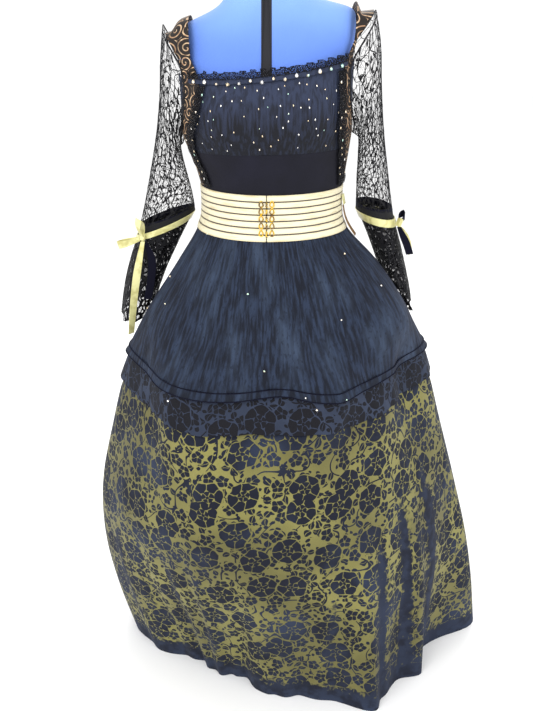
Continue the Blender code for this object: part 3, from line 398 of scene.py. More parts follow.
def ribbons(name, paths, widths, thickness, finish, slot):
    """Flat threads along paths of (point, normal), as closed four-sided strips."""
    points, faces = [], []
    for path, width in zip(paths, widths):
        start = len(points)
        count = len(path)
        for index, (place, normal) in enumerate(path):
            ahead = path[min(index + 1, count - 1)][0] - path[max(index - 1, 0)][0]
            side = ahead.cross(normal).normalized() * (width / 2)
            lift = normal * (thickness / 2)
            points += [place + side, place + lift, place - side, place - lift]
        for index in range(count - 1):
            low = start + index * 4
            for corner in range(4):
                other = (corner + 1) % 4
                faces.append((low + corner, low + other, low + 4 + other, low + 4 + corner))
        faces.append((start + 3, start + 2, start + 1, start))
        end = start + (count - 1) * 4
        faces.append((end, end + 1, end + 2, end + 3))
    mesh = bpy.data.meshes.new(name)
    mesh.from_pydata(points, [], faces)
    return dressed(placed(name, mesh), finish, slot)


net = Finish("black_net", NET_BLACK, 0.85, Sheen_Weight=0.03, Specular_IOR_Level=0.2)
net_cells = net.add("TexVoronoi", {"feature": "DISTANCE_TO_EDGE"}, Scale=420.0)
net.put(net_cells, "Vector", net.where())
net.put(net.shader, "Alpha", net.ramp(net_cells.outputs["Distance"], 0.09, 0.17, 1.0, 0.18))
net.weave(0.0001)
ruffle_surface = surface_of("neck_ruffle")
ruffle_low, ruffle_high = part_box("neck_ruffle")
base = []
for step in range(RUFFLE_STEPS + 1):
    x = ruffle_low.x + 0.001 + (ruffle_high.x - ruffle_low.x - 0.002) * step / RUFFLE_STEPS
    for rise in range(RUFFLE_RISES):
        z = ruffle_low.z + (ruffle_high.z - ruffle_low.z) * rise / RUFFLE_RISES
        place = from_front(ruffle_surface, x, z)[0]
        if place is not None:
            base.append(place)
            break
count = len(base)
ahead = [(base[min(i + 4, count - 1)] - base[max(i - 4, 0)]).normalized() for i in range(count)]
rows = []
for level in range(RUFFLE_ROWS + 1):
    share = level / RUFFLE_ROWS
    row = []
    for i, (place, tangent) in enumerate(zip(base, ahead)):
        turn = 2 * math.pi * RUFFLE_LOOPS * i / count + 0.7 * math.sin(i * 0.05)
        out = Vector((tangent.y, -tangent.x, 0.0))
        swing = RUFFLE_SWING * share * math.sin(turn)
        slide = 0.45 * RUFFLE_SWING * share * math.sin(2 * turn)
        tall = RUFFLE_TALL * (0.80 + 0.20 * math.cos(turn + 0.5) * math.sin(i * 0.031 + 1))
        row.append((place + out * swing + tangent * slide + Vector((0, 0, tall * share)), out))
    rows.append(row)
points = [place for row in rows for place, _ in row]
points += [place - out * RUFFLE_WALL for row in rows for place, out in row]
faces = []
back = (RUFFLE_ROWS + 1) * count
for r in range(RUFFLE_ROWS):
    for i in range(count - 1):
        a, d = r * count + i, (r + 1) * count + i
        faces += [(a, a + 1, d + 1, d), (back + d, back + d + 1, back + a + 1, back + a)]
top = RUFFLE_ROWS * count
for i in range(count - 1):
    t = top + i
    faces += [(i + 1, i, back + i, back + i + 1), (t, t + 1, back + t + 1, back + t)]
for r in range(RUFFLE_ROWS):
    low, high = r * count, (r + 1) * count
    faces.append((low, high, back + high, back + low))
    low, high = low + count - 1, high + count - 1
    faces.append((high, low, back + low, back + high))
ruffle_mesh = bpy.data.meshes.new("neck_ruffle_cloth")
ruffle_mesh.from_pydata(points, [], faces)
neck_ruffle = placed("neck_ruffle_cloth", ruffle_mesh)
dressed(neck_ruffle, net, "black_net", "neck_ruffle")
ruffle_edge = ribbons("ruffle_edge", [rows[-1]], [RUFFLE_CORD], RUFFLE_CORD, net, "black_net")


# Shrug
# Black mesh woven with bronze scrolls: two front panels, a back and a yoke over each
# shoulder, with a ruched net trim and a few sequins down each front edge.
MESH_BLACK, MESH_BRONZE = (0.014, 0.010, 0.009), (0.36, 0.21, 0.12)
MESH_GOLD = (0.60, 0.42, 0.26)
SCROLL_CELLS, SCROLL_TURNS, SCROLL_REACH = 46.0, 820.0, 0.13
TRIM_SEQUINS, TRIM_SEQUIN_APART, TRIM_SEQUIN_SIZE = 11, 0.011, (0.0022, 0.0016, 0.0006)

scrolls = Finish("bronze_scrolls", MESH_BLACK, 0.6, Specular_IOR_Level=0.25)
flat = scrolls.round_the_body(SCROLL_REACH)
cells = scrolls.add(
    "TexVoronoi", {"voronoi_dimensions": "2D"}, Vector=flat, Scale=SCROLL_CELLS, Randomness=0.8
)
radius, turn = scrolls.polar(scrolls.vectors("SUBTRACT", flat, cells.outputs["Position"]))
spiral = scrolls.calc("SINE", scrolls.plus(scrolls.times(radius, SCROLL_TURNS), turn))
line = scrolls.ramp(spiral, 0.58, 0.84)
patch = scrolls.ramp(scrolls.noise(38.0, 2.0), 0.32, 0.48, 0.25, 1.0)
thread_tone = scrolls.mix(scrolls.ramp(scrolls.noise(120.0), 0.4, 0.6), MESH_BRONZE, MESH_GOLD)
scrolls.colour(scrolls.mix(scrolls.times(line, patch), MESH_BLACK, thread_tone))
scrolls.bump(scrolls.plus(line, scrolls.noise(900.0)), 0.0004)
for tag in ("right", "left"):
    panel = finer("shrug_front_" + tag, scrolls, "bronze_mesh")
    yoke = finer("shrug_yoke_" + tag, scrolls, "bronze_mesh")
    trim = finer("shrug_trim_" + tag, net, "black_net")
    trim_surface = surface_of("shrug_trim_" + tag)
    trim_low, trim_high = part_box("shrug_trim_" + tag)
    draw = random.Random(len(tag))
    spots = []
    while len(spots) < TRIM_SEQUINS:
        x = draw.uniform(trim_low.x, trim_high.x)
        z = draw.uniform(trim_low.z + 0.005, trim_high.z - 0.005)
        place, normal = from_front(trim_surface, x, z)
        if place is None or any((place - other).length <= TRIM_SEQUIN_APART for other, _ in spots):
            continue
        spots.append((place, normal if normal.y < 0 else -normal))
    trim_sequins = scatter("trim_sequins_" + tag, spots, TRIM_SEQUIN_SIZE, crystal, "black_net")
shrug_back = finer("shrug_back", scrolls, "bronze_mesh")


# Lace sleeves
# Black lace with wavy vines that run down the arm, small leaves on them, short bars
# between them and a fine net behind. The rings are those of the sleeve's own cut.
SLEEVE_RINGS = {
    # outer x, outer z, inner x, inner z, middle y, half depth, from the armhole down
    "right": (
        (0.1785, 1.322, 0.152, 1.122, 0.004, 0.066),
        (0.1850, 1.264, 0.159, 1.114, 0.004, 0.062),
        (0.1890, 1.210, 0.157, 1.102, 0.004, 0.056),
        (0.1970, 1.154, 0.153, 1.086, 0.006, 0.051),
        (0.2080, 1.100, 0.148, 1.066, 0.009, 0.047),
        (0.2200, 1.049, 0.143, 1.044, 0.013, 0.044),
        (0.2330, 0.999, 0.139, 1.020, 0.020, 0.042),
        (0.2470, 0.952, 0.137, 0.996, 0.028, 0.041),
    ),
    "left": (
        (0.1875, 1.345, 0.155, 1.142, 0.004, 0.066),
        (0.1980, 1.290, 0.167, 1.133, 0.004, 0.064),
        (0.2020, 1.238, 0.169, 1.119, 0.004, 0.060),
        (0.2070, 1.186, 0.169, 1.101, 0.006, 0.057),
        (0.2140, 1.134, 0.169, 1.081, 0.009, 0.055),
        (0.2230, 1.083, 0.169, 1.058, 0.014, 0.054),
        (0.2320, 1.034, 0.170, 1.031, 0.020, 0.053),
        (0.2420, 0.986, 0.171, 1.000, 0.028, 0.052),
    ),
}
ARMHOLE_HUG, BODY_CLEARANCE = 0.034, 0.0045
VINES, VINE_WIDTH, VINE_STEPS = 22, 0.0015, 72
BAR_THIN, BAR_THICK, BAR_SWAY, BAR_APART = 0.0007, 0.0014, 0.022, (0.034, 0.062)
NET_LINES, NET_WIDTH, NET_STEPS, NET_SLANT = 34, 0.0004, 60, 0.34
LEAF_LENGTH, LEAF_WIDTH, LEAF_SHARE, LEAF_STRIP = 0.0085, 0.0036, 0.75, 0.42
SLEEVE_LONG, SLEEVE_ROUND = 0.30, 0.36
LACE_THICKNESS = 0.0006
# Share of the length and width of the sleeve's two bound ends
SLEEVE_ENDS = ((0.002, 0.003), (0.985, 0.0125))
SLEEVE_SEEDS = {"right": 5, "left": 8}


def curve(t, start, end, slope_in, slope_out):
    """Value at a share t of the way between two values that have these slopes."""
    return (
        (2 * t**3 - 3 * t**2 + 1) * start + (t**3 - 2 * t**2 + t) * slope_in
        + (3 * t**2 - 2 * t**3) * end + (t**3 - t**2) * slope_out
    )


def through_rings(rings, position):
    """Values at a place between rings, on a smooth curve through them."""
    last = len(rings) - 1
    index = min(int(position), last - 1)
    around = (rings[min(max(index + step, 0), last)] for step in (-1, 0, 1, 2))
    return [
        curve(position - index, b, c, (c - a) / 2, (d - b) / 2) for a, b, c, d in zip(*around)
    ]


body_surface = surface_of(
    "bust_panel", "midriff_front", "bodice_back", "shrug_front_right", "shrug_front_left",
    "shrug_back", "belt_left", "belt_right", "overskirt",
)


def sleeve_place(tag, position, angle):
    """Point of a sleeve. Angle 0 is the outer side and 90 the front."""
    side = -1 if tag == "right" else 1
    values = through_rings(SLEEVE_RINGS[tag], position)
    outer_x, outer_z, inner_x, inner_z, middle_y, half = values
    turn = math.radians(angle)
    across, forward = math.cos(turn), math.sin(turn)
    place = Vector((
        (outer_x + inner_x) / 2 + (outer_x - inner_x) / 2 * across,
        middle_y - half * forward,
        (outer_z + inner_z) / 2 + (outer_z - inner_z) / 2 * across,
    ))
    if position < 3:
        place.x -= ARMHOLE_HUG * (1 - position / 3) ** 2 * forward**4
    place.x *= side
    direction = Vector((place.x, place.y, 0.0))
    reach = direction.length
    direction.normalize()
    hit = body_surface.ray_cast(direction + Vector((0, 0, place.z)), -direction)[0]
    if hit is not None:
        least = math.hypot(hit.x, hit.y) + 0.0012 + BODY_CLEARANCE * min(position, 1.0)
        if reach < least:
            place = Vector((direction.x * least, direction.y * least, place.z))
    return place


def sleeve_grid(tag, rows=57, columns=72):
    """Points and normals of a sleeve, a row for each eighth of a ring."""
    last = len(SLEEVE_RINGS[tag]) - 1
    grid = [
        [sleeve_place(tag, last * r / (rows - 1), 360 * c / columns) for c in range(columns)]
        for r in range(rows)
    ]
    normals = []
    for r in range(rows):
        line = []
        for c in range(columns):
            along = grid[min(r + 1, rows - 1)][c] - grid[max(r - 1, 0)][c]
            round_it = grid[r][(c + 1) % columns] - grid[r][c - 1]
            normal = round_it.cross(along).normalized()
            middle = sum((grid[r][i] for i in range(0, columns, 9)), Vector()) / 8
            line.append(normal if normal.dot(grid[r][c] - middle) > 0 else -normal)
        normals.append(line)
    return grid, normals


def on_grid(grid, normals, down, turn):
    """Point and normal on a sleeve grid. Down is 0 to 1 and turn 0 to 1."""
    rows, columns = len(grid), len(grid[0])
    r = min(max(down, 0.0), 1.0) * (rows - 1)
    c = (turn % 1.0) * columns
    r0 = min(int(r), rows - 2)
    c0 = int(c) % columns
    r1, c1 = r0 + 1, (c0 + 1) % columns
    u, v = r - r0, c - int(c)
    place = grid[r0][c0].lerp(grid[r0][c1], v).lerp(grid[r1][c0].lerp(grid[r1][c1], v), u)
    return place, normals[r0][c0].lerp(normals[r1][c1], 0.5).normalized()


lace = Finish("black_lace_thread", NET_BLACK, 0.8, Sheen_Weight=0.03, Specular_IOR_Level=0.3)
lace.weave(0.0001)


def vine_turn(index, down):
    """How far round the sleeve a vine lies at a share of its length."""
    sway = 0.010 * math.sin(down * 38 + index * 1.9) + 0.006 * math.sin(down * 71 + index * 3.1)
    return index / VINES + sway


def leaf(grid, normals, down, turn, lean, length, width):
    """A leaf of three strips that part in its middle and meet at its ends."""
    strips = []
    for share in (-0.32, 0.0, 0.32):
        strip = []
        for step in range(5):
            t = step / 4
            along = (t - 0.5) * length
            across = share * width * math.sin(math.pi * (0.08 + 0.84 * t))
            d = down + (along * math.cos(lean) - across * math.sin(lean)) / SLEEVE_LONG
            w = turn + (along * math.sin(lean) + across * math.cos(lean)) / SLEEVE_ROUND
            place, normal = on_grid(grid, normals, d, w)
            strip.append((place + normal * LACE_THICKNESS / 2, normal))
        strips.append(strip)
    return strips


for tag in ("right", "left"):
    grid, normals = sleeve_grid(tag)
    draw = random.Random(SLEEVE_SEEDS[tag])
    steps = [s / VINE_STEPS for s in range(VINE_STEPS + 1)]
    paths, widths = [], []
    for index in range(VINES):
        paths.append([on_grid(grid, normals, d, vine_turn(index, d)) for d in steps])
        widths.append(VINE_WIDTH * draw.uniform(0.6, 1.5))
        down = draw.uniform(0.0, 0.03)
        while down < 0.97:
            start, end = vine_turn(index, down), vine_turn(index + 1, down)
            drop = draw.uniform(-BAR_SWAY, BAR_SWAY)
            bar = []
            for t in (0.0, 0.25, 0.5, 0.75, 1.0):
                level = down + drop * math.sin(math.pi * t / 2)
                bar.append(on_grid(grid, normals, level, start + (end - start) * t))
            paths.append(bar)
            widths.append(draw.uniform(BAR_THIN, BAR_THICK))
            if draw.random() < LEAF_SHARE:
                lean = draw.choice((-1, 1)) * draw.uniform(0.3, 1.1)
                length = LEAF_LENGTH * draw.uniform(0.7, 1.25)
                beside = start + 0.012 * draw.choice((-1, 1))
                strips = leaf(grid, normals, down, beside, lean, length, LEAF_WIDTH)
                paths += strips
                widths += [LEAF_WIDTH * LEAF_STRIP] * len(strips)
            down += draw.uniform(*BAR_APART)
    for index in range(NET_LINES):
        for slant in (NET_SLANT, -NET_SLANT):
            line = []
            for step in range(NET_STEPS + 1):
                turn = (index + 0.3 * math.sin(step * 0.9 + index)) / NET_LINES
                d = step / NET_STEPS
                line.append(on_grid(grid, normals, d, turn + slant * d))
            paths.append(line)
            widths.append(NET_WIDTH)
    for row_share, width in SLEEVE_ENDS:
        paths.append([on_grid(grid, normals, row_share, c / 72) for c in range(73)])
        widths.append(width)
    sleeve = ribbons("sleeve_lace_" + tag, paths, widths, LACE_THICKNESS, lace, "black_lace")
    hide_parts("sleeve_%s_front" % tag, "sleeve_%s_back" % tag)


# Cuffs, bands and bows
# Flared cuffs of the same lace used double, gathered under a velvet band, with a satin
# ribbon threaded below it and tied in a bow at the outer front.
SATIN, SATIN_SHADE, VELVET = (0.74, 0.71, 0.34), (0.50, 0.46, 0.17), (0.004, 0.004, 0.010)
CUFF_HEM_Z, CUFF_TOP_Z = 0.80, 0.96
VELVET_NODES = ("bow_loop_left_2", "bow_tail_left_2", "bow_tail_right_2")

doubled = Finish("double_lace", NET_BLACK, 0.85, Sheen_Weight=0.03, Specular_IOR_Level=0.2)
vine_cells = doubled.add("TexVoronoi", {"feature": "DISTANCE_TO_EDGE"}, Scale=95.0)
vine_place = doubled.vectors("MULTIPLY", doubled.where(), (1.0, 1.0, 0.55))
doubled.put(vine_cells, "Vector", vine_place)
fine_cells = doubled.add("TexVoronoi", {"feature": "DISTANCE_TO_EDGE"}, Scale=520.0)
doubled.put(fine_cells, "Vector", doubled.where())
vine_line = doubled.ramp(vine_cells.outputs["Distance"], 0.10, 0.15, 1.0, 0.0)
open_net = doubled.ramp(doubled.axes()[2], CUFF_HEM_Z, CUFF_TOP_Z, 0.0, 0.18)
fine_line = doubled.ramp(fine_cells.outputs["Distance"], 0.05, 0.12, 0.8, open_net)
doubled.put(doubled.shader, "Alpha", doubled.calc("MAXIMUM", vine_line, fine_line))
doubled.bump(vine_line, 0.0006)

satin = Finish("cream_satin", SATIN, 0.32, Sheen_Weight=0.1)
satin.colour(satin.mix(satin.ramp(satin.noise(60.0, 3.0), 0.4, 0.7), SATIN, SATIN_SHADE))
satin.bump(satin.noise(900.0, 1.0, (1.0, 1.0, 0.15)), 0.0002, 0.5)
velvet = Finish(
    "black_velvet", VELVET, 0.95, Sheen_Weight=0.12, Specular_IOR_Level=0.1,
    Sheen_Tint=(0.25, 0.30, 0.55, 1.0),
)
velvet.bump(velvet.noise(1500.0), 0.0003, 0.6)

for tag in ("right", "left"):
    cuff = finer("cuff_" + tag, doubled, "black_lace")
    velvet_band = finer("velvet_band_" + tag, velvet, "black_velvet")
    ribbon = finer("cream_ribbon_" + tag, satin, "cream_satin")
    tied = [finer("bow_knot_" + tag, satin, "cream_satin")]
    for kind in ("bow_loop_%s_1", "bow_loop_%s_2", "bow_tail_%s_1", "bow_tail_%s_2"):
        node = kind % tag
        look = (velvet, "black_velvet") if node in VELVET_NODES else (satin, "cream_satin")
        tied.append(finer(node, *look))


# Belt
# A wide cream belt of seven stitched tucks with a painted shadow line in each groove, closed
# at the centre front by five gilt clasps, each two eyes and the hook between them. A tie end
# and a bronze strip hang at its side.
BELT_CREAM, BELT_SHADE, BELT_GROOVE_SHADOW = (0.76, 0.70, 0.49), (0.50, 0.39, 0.19), (0.04, 0.027, 0.02)
GILT, GILT_BRIGHT, GILT_DULL = (0.83, 0.60, 0.16), (0.95, 0.66, 0.08), (0.30, 0.20, 0.09)
BRAID = (0.25, 0.14, 0.06)
BELT_LOW_Z, BELT_HIGH_Z, BELT_TUCKS, GROOVE_HALF = 0.972, 1.051, 7, 0.00115
CLASP_ROWS, CLASP_TOP_Z, CLASP_PITCH, CLASP_OFFSET = 5, 1.0365, 0.0125, 0.0095
EYE_LENGTH, EYE_WIDTH, EYE_STEPS, WIRE = 0.0100, 0.0068, 16, 0.0021
HOOK_LENGTH, HOOK_WIDTH, HOOK_SWAY, HOOK_STEPS = 0.0085, 0.003, 0.0016, 12

cream = Finish("belt_cream", BELT_CREAM, 0.5, Sheen_Weight=0.2)
tuck_height = (BELT_HIGH_Z - BELT_LOW_Z) / BELT_TUCKS
tuck = cream.calc("DIVIDE", cream.minus(cream.axes()[2], BELT_LOW_Z), tuck_height)
tuck = cream.plus(tuck, cream.times(cream.minus(cream.noise(45.0), 0.5), 0.05))
nearest = cream.calc("ROUND", tuck)
off_groove = cream.calc("ABSOLUTE", cream.minus(tuck, nearest))
# Painted shadow: a dark line along each groove between the tucks. The cream is also darkened
# beside the grooves and in its wrinkles as painted shade.
groove = cream.calc("LESS_THAN", off_groove, GROOVE_HALF / tuck_height)
above_hem = cream.calc("GREATER_THAN", nearest, 0.5)
below_top = cream.calc("LESS_THAN", nearest, BELT_TUCKS - 0.5)
groove = cream.times(groove, cream.times(above_hem, below_top))
shadow = cream.ramp(off_groove, 0.06, 0.30, 0.45, 0.0)
crumple = cream.noise(26.0, 4.0, (1.0, 1.0, 7.0))
shade = cream.plus(shadow, cream.ramp(crumple, 0.5, 0.75, 0.0, 0.55))
cream.colour(cream.mix(groove, cream.mix(shade, BELT_CREAM, BELT_SHADE), BELT_GROOVE_SHADOW))
cream.bump(cream.plus(crumple, cream.times(cream.noise(800.0), 0.2)), 0.0012)
for tag in ("left", "right"):
    half_belt = finer("belt_" + tag, cream, "cream_belt")

gilt = Finish("gilt_wire", GILT, 0.25, Metallic=1.0)
gilt_tone = gilt.ramp(gilt.noise(95.0, 0.0), 0.42, 0.58)
gilt.colour(gilt.mix(gilt_tone, GILT_BRIGHT, GILT_DULL))
belt_surface = surface_of("belt_left", "belt_right")
towards = Vector((0, -1, 0))
paths = []
for row in range(CLASP_ROWS):
    z = CLASP_TOP_Z - CLASP_PITCH * row
    for side in (-1, 1):
        eye = []
        for step in range(EYE_STEPS + 1):
            turn = 2 * math.pi * step / EYE_STEPS
            x = side * CLASP_OFFSET + EYE_WIDTH / 2 * math.cos(turn) * (1 - 0.35 * math.sin(turn))
            level = z + EYE_LENGTH / 2 * math.sin(turn)
            place = from_front(belt_surface, x, level)[0]
            eye.append((Vector((x, place.y - WIRE / 2, level)), towards))
        paths.append(eye)
    hook = []
    for step in range(HOOK_STEPS + 1):
        t = step / HOOK_STEPS
        x = HOOK_SWAY * math.sin(2 * math.pi * t) + (t - 0.5) * HOOK_WIDTH
        level = z - 0.001 + HOOK_LENGTH * (0.5 - t)
        place = from_front(belt_surface, x + HOOK_WIDTH, level)[0]
        hook.append((Vector((x, place.y - WIRE, level)), towards))
    paths.append(hook)
clasps = ribbons("belt_clasps", paths, [WIRE] * len(paths), WIRE, gilt, "clasp_gold")
for row in range(1, CLASP_ROWS + 1):
    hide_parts("belt_clasp_eye_%d" % row, "belt_clasp_hook_%d" % row)

braid = Finish("bronze_braid", BRAID, 0.5, Metallic=0.3)
braid.bump(braid.noise(500.0, 2.0, (1.0, 1.0, 3.0)), 0.0004)
finer("belt_side_strip", braid, "bronze_strip")
finer("belt_tie_end", satin, "cream_satin")


# Skirts
# The full skirt is olive gold cloth with flocked roses, small flowers and leaves. Over it
# hang a short flounce of sheer navy with the same flock, and a navy lace overskirt.
COLUMNS, FINE_COLUMNS = 60, 300
SHELL_WALL, UNDER_GAP = 0.0009, 0.0035
GOLD_LIGHT, GOLD_DARK = (0.212, 0.196, 0.056), (0.112, 0.102, 0.030)
FLOCK, FLOCK_SHEEN = (0.0055, 0.007, 0.015), (0.021, 0.030, 0.058)
# Height of the painted shade above the skirt's hem
HEM_SHADE_HEIGHT = 0.085
FLOOR_GAP, COVERED_Z, WAIST_Z = 0.0012, 0.66, 0.9895
FLOUNCE_HEM_Z, FLOUNCE_TALL, OVERSKIRT_HEM_Z = 0.655, 0.145, 0.726
# Creases of the skirt: bearing at the hem, drift towards the top, top z, half width, depth
SKIRT_CREASES = (
    (232, 3.0, 0.60, 3.6, 0.007),
    (243, 1.0, 0.52, 3.0, 0.005),
    (256, -1.0, 0.58, 3.4, 0.006),
    (275, -2.0, 0.50, 3.0, 0.004),
    (288, 2.0, 0.56, 3.8, 0.006),
    (303, -3.0, 0.62, 4.2, 0.009),
    (317, -2.0, 0.58, 3.6, 0.011),
    (330, -2.5, 0.60, 3.6, 0.012),
    (341, -2.0, 0.62, 3.4, 0.010),
    (354, -1.0, 0.60, 4.0, 0.012),
    (10, 1.0, 0.56, 4.0, 0.009),
    (31, 2.0, 0.60, 4.6, 0.010),
    (55, 0.0, 0.55, 4.4, 0.009),
    (79, 1.0, 0.62, 4.6, 0.010),
    (103, -1.0, 0.57, 4.4, 0.009),
    (127, 1.0, 0.60, 4.6, 0.008),
    (150, 0.0, 0.55, 4.2, 0.008),
    (176, 2.0, 0.58, 4.0, 0.008),
    (192, 2.0, 0.50, 3.6, 0.006),
    (208, 3.0, 0.60, 3.8, 0.008),
    (220, 2.0, 0.52, 3.2, 0.006),
)


def ring_table(node):
    """Heights of a skirt solid's rings, with the reach of its outer wall at each bearing."""
    rings = {}
    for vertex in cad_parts[node].data.vertices:
        bearing = math.degrees(math.atan2(vertex.co.y, vertex.co.x)) % 360
        column = round(bearing * COLUMNS / 360)
        if abs(bearing - column * 360 / COLUMNS) > 0.02:
            continue
        ring = rings.setdefault(round(vertex.co.z, 4), {})
        reach = math.hypot(vertex.co.x, vertex.co.y)
        ring[column % COLUMNS] = max(ring.get(column % COLUMNS, 0.0), reach)
    heights = sorted(z for z, ring in rings.items() if len(ring) == COLUMNS)
    return heights, np.array([[rings[z][c] for c in range(COLUMNS)] for z in heights])


def fine_reach(node, levels):
    """Reach of a skirt at many heights and bearings, on smooth curves through its rings."""
    heights, table = ring_table(node)
    heights = np.array(heights)
    slopes = np.gradient(table, heights, axis=0) if len(heights) > 2 else (
        np.repeat((table[1:] - table[:1]) / (heights[1] - heights[0]), 2, axis=0)
    )
    rows = []
    for z in levels:
        i = int(np.clip(np.searchsorted(heights, z) - 1, 0, len(heights) - 2))
        span = heights[i + 1] - heights[i]
        t = min(max((z - heights[i]) / span, 0.0), 1.0)
        rows.append(curve(t, table[i], table[i + 1], span * slopes[i], span * slopes[i + 1]))
    rows = np.array(rows)
    place = np.arange(FINE_COLUMNS) * COLUMNS / FINE_COLUMNS
    i = place.astype(int)
    a, b, c, d = (rows[:, (i + k) % COLUMNS] for k in (-1, 0, 1, 2))
    return curve(place - i, b, c, (c - a) / 2, (d - b) / 2)


def creased(levels, creases, hem_z, bulge=0.35):
    """Change of reach from creases: a soft trough beside a soft ridge."""
    bearings = np.arange(FINE_COLUMNS) * 360 / FINE_COLUMNS
    change = np.zeros((len(levels), FINE_COLUMNS))
    for hem_bearing, drift, top_z, half_width, depth in creases:
        for row, z in enumerate(levels):
            if z >= top_z:
                continue
            fall = (top_z - z) / (top_z - hem_z)
            grow = fall * fall * (3 - 2 * fall)
            centre = hem_bearing + drift * (1 - fall)
            away = (bearings - centre + 180) % 360 - 180
            wide = half_width * (0.65 + 0.35 * fall)
            trough = np.exp(-((away / wide) ** 2))
            ridge = np.exp(-(((away - 1.7 * wide) / wide) ** 2))
            change[row] += depth * grow * (bulge * ridge - trough)
    return change


def shell(name, levels, reach, wall, finish, slot, node):
    """Thin closed shell round the body, with its UV map in metres from the centre front."""
    count = FINE_COLUMNS
    angle = np.radians(np.arange(count) * 360 / count)
    layers = []
    for inset in (0.0, wall):
        r = reach - inset
        z = np.repeat(np.array(levels)[:, None], count, axis=1)
        layers.append(np.stack([r * np.cos(angle), r * np.sin(angle), z], axis=2))
    points = np.concatenate([layer.reshape(-1, 3) for layer in layers])
    rows = len(levels)
    outer = layers[0]
    start = count * 3 // 4
    steps = np.linalg.norm(np.roll(outer, -1, axis=1) - outer, axis=2)
    order = (start + np.arange(-count // 2, count // 2)) % count
    walked = np.concatenate([np.zeros((rows, 1)), np.cumsum(steps[:, order], axis=1)], axis=1)
    walked -= walked[:, count // 2][:, None]
    falls = np.cumsum(np.linalg.norm(np.diff(outer, axis=0), axis=2), axis=0)
    drop = np.concatenate([np.zeros((1, count)), falls])[:, np.append(order, order[0])]
    faces, corners = [], []
    inner = rows * count
    for r in range(rows - 1):
        for k in range(count):
            c, n = int(order[k]), int(order[(k + 1) % count])
            low, high = r * count, (r + 1) * count
            faces.append((low + c, low + n, high + n, high + c))
            faces.append((inner + high + c, inner + high + n, inner + low + n, inner + low + c))
            box = ((r, k), (r, k + 1), (r + 1, k + 1), (r + 1, k))
            corners += [(walked[i, j], drop[i, j]) for i, j in box + box[::-1]]
    for r, flip in ((0, True), (rows - 1, False)):
        for k in range(count):
            c, n = int(order[k]), int(order[(k + 1) % count])
            rim = (r * count + c, r * count + n, inner + r * count + n, inner + r * count + c)
            faces.append(rim[::-1] if flip else rim)
            corners += [(walked[r, k], drop[r, k])] * 4
    mesh = bpy.data.meshes.new(name)
    mesh.from_pydata(points.tolist(), [], faces)
    uv = mesh.uv_layers.new(name="UVMap")
    uv.data.foreach_set("uv", np.array(corners, dtype=np.float32).ravel())
    return dressed(placed(name, mesh), finish, slot, node)


class Flock(Finish):
    """A finish with flocked flowers, drawn in metres on the piece's UV map."""

    def drawn_freely(self):
        """The UV place, pushed about by a few millimetres so that no motif is regular."""
        flat = self.add("TexCoord").outputs["UV"]
        push = self.add("TexNoise", Vector=flat, Scale=48.0, Detail=1.5).outputs["Color"]
        push = self.vectors("SUBTRACT", push, (0.5, 0.5, 0.5))
        return self.vectors("ADD", flat, self.vectors("MULTIPLY", push, (0.012, 0.012, 0.0)))

    def cell(self, pitch, shift, randomness=0.6):
        """Radius and angle from the middle of the nearest motif of a layer."""
        moved = self.vectors("ADD", self.drawn_freely(), (shift, shift * 0.7, 0.0))
        found = self.add(
            "TexVoronoi", {"voronoi_dimensions": "2D"}, Vector=moved, Scale=1.0 / pitch,
            Randomness=randomness,
        )
        radius, angle = self.polar(self.vectors("SUBTRACT", moved, found.outputs["Position"]))
        own = self.add("SeparateColor", Color=found.outputs["Color"]).outputs[0]
        return radius, self.plus(angle, self.times(own, 6.28))

    def petals(self, cell, count, inner, outer, width, turn=0.0, vein=0.0, line=0.0006):
        """1 on a ring of petals round the middle of a cell, and 0 off it and in its lines."""
        radius, angle = cell
        sector = 2 * math.pi / count
        share = self.plus(self.calc("DIVIDE", self.plus(angle, turn), sector), 0.5)
        folded = self.times(self.minus(self.calc("FRACT", share), 0.5), sector)
        along = self.times(radius, self.calc("COSINE", folded))
        across = self.calc("ABSOLUTE", self.times(radius, self.calc("SINE", folded)))
        middle, half = (inner + outer) / 2, (outer - inner) / 2
        t = self.calc("ABSOLUTE", self.calc("DIVIDE", self.minus(along, middle), half))
        edge = self.times(self.minus(1.0, self.calc("POWER", t, 2.4)), width)
        if count > 2:
            side = self.minus(self.times(along, math.tan(sector / 2)), line)
            edge = self.calc("MINIMUM", edge, side)
        inside = self.calc("LESS_THAN", across, edge)
        if vein:
            inside = self.times(inside, self.calc("GREATER_THAN", across, vein))
        return inside

    def either(self, *masks):
        total = masks[0]
        for mask in masks[1:]:
            total = self.calc("MAXIMUM", total, mask)
        return total

    def outside(self, cell, limit):
        return self.calc("GREATER_THAN", cell[0], limit)

    def flowers(self, shift=0.0):
        """Roses first, then flowers and leaves in what space is left between them."""
        rose = self.cell(0.084, 0.31 + shift, 0.62)
        small = self.cell(0.046, 1.70 + shift, 0.7)
        sprig = self.cell(0.038, 2.90 + shift, 0.75)
        bud = self.cell(0.0225, 4.20 + shift, 0.8)
        big = self.either(
            self.petals(rose, 6, 0.0112, 0.0292, 0.0140, line=0.0008),
            self.petals(rose, 5, 0.0034, 0.0120, 0.0072, 0.5, line=0.0008),
            self.calc("LESS_THAN", rose[0], 0.0032),
        )
        flower = self.petals(small, 5, 0.0020, 0.0136, 0.0054, line=0.0004)
        clear_rose = self.outside(rose, 0.0300)
        clear_small = self.times(clear_rose, self.outside(small, 0.0150))
        clear_sprig = self.times(clear_small, self.outside(sprig, 0.0155))
        leaves = self.petals(sprig, 3, 0.0016, 0.0190, 0.0062, 0.0, 0.0005, 0.0014)
        tiny = self.petals(bud, 2, 0.0006, 0.0105, 0.0034)
        path = self.noise(17.0, 0.0, vector=self.add("TexCoord").outputs["UV"])
        stem = self.calc("LESS_THAN", self.calc("ABSOLUTE", self.minus(path, 0.5)), 0.011)
        return self.either(
            big,
            self.times(clear_rose, flower),
            self.times(clear_small, self.either(leaves, stem)),
            self.times(clear_sprig, tiny),
        )


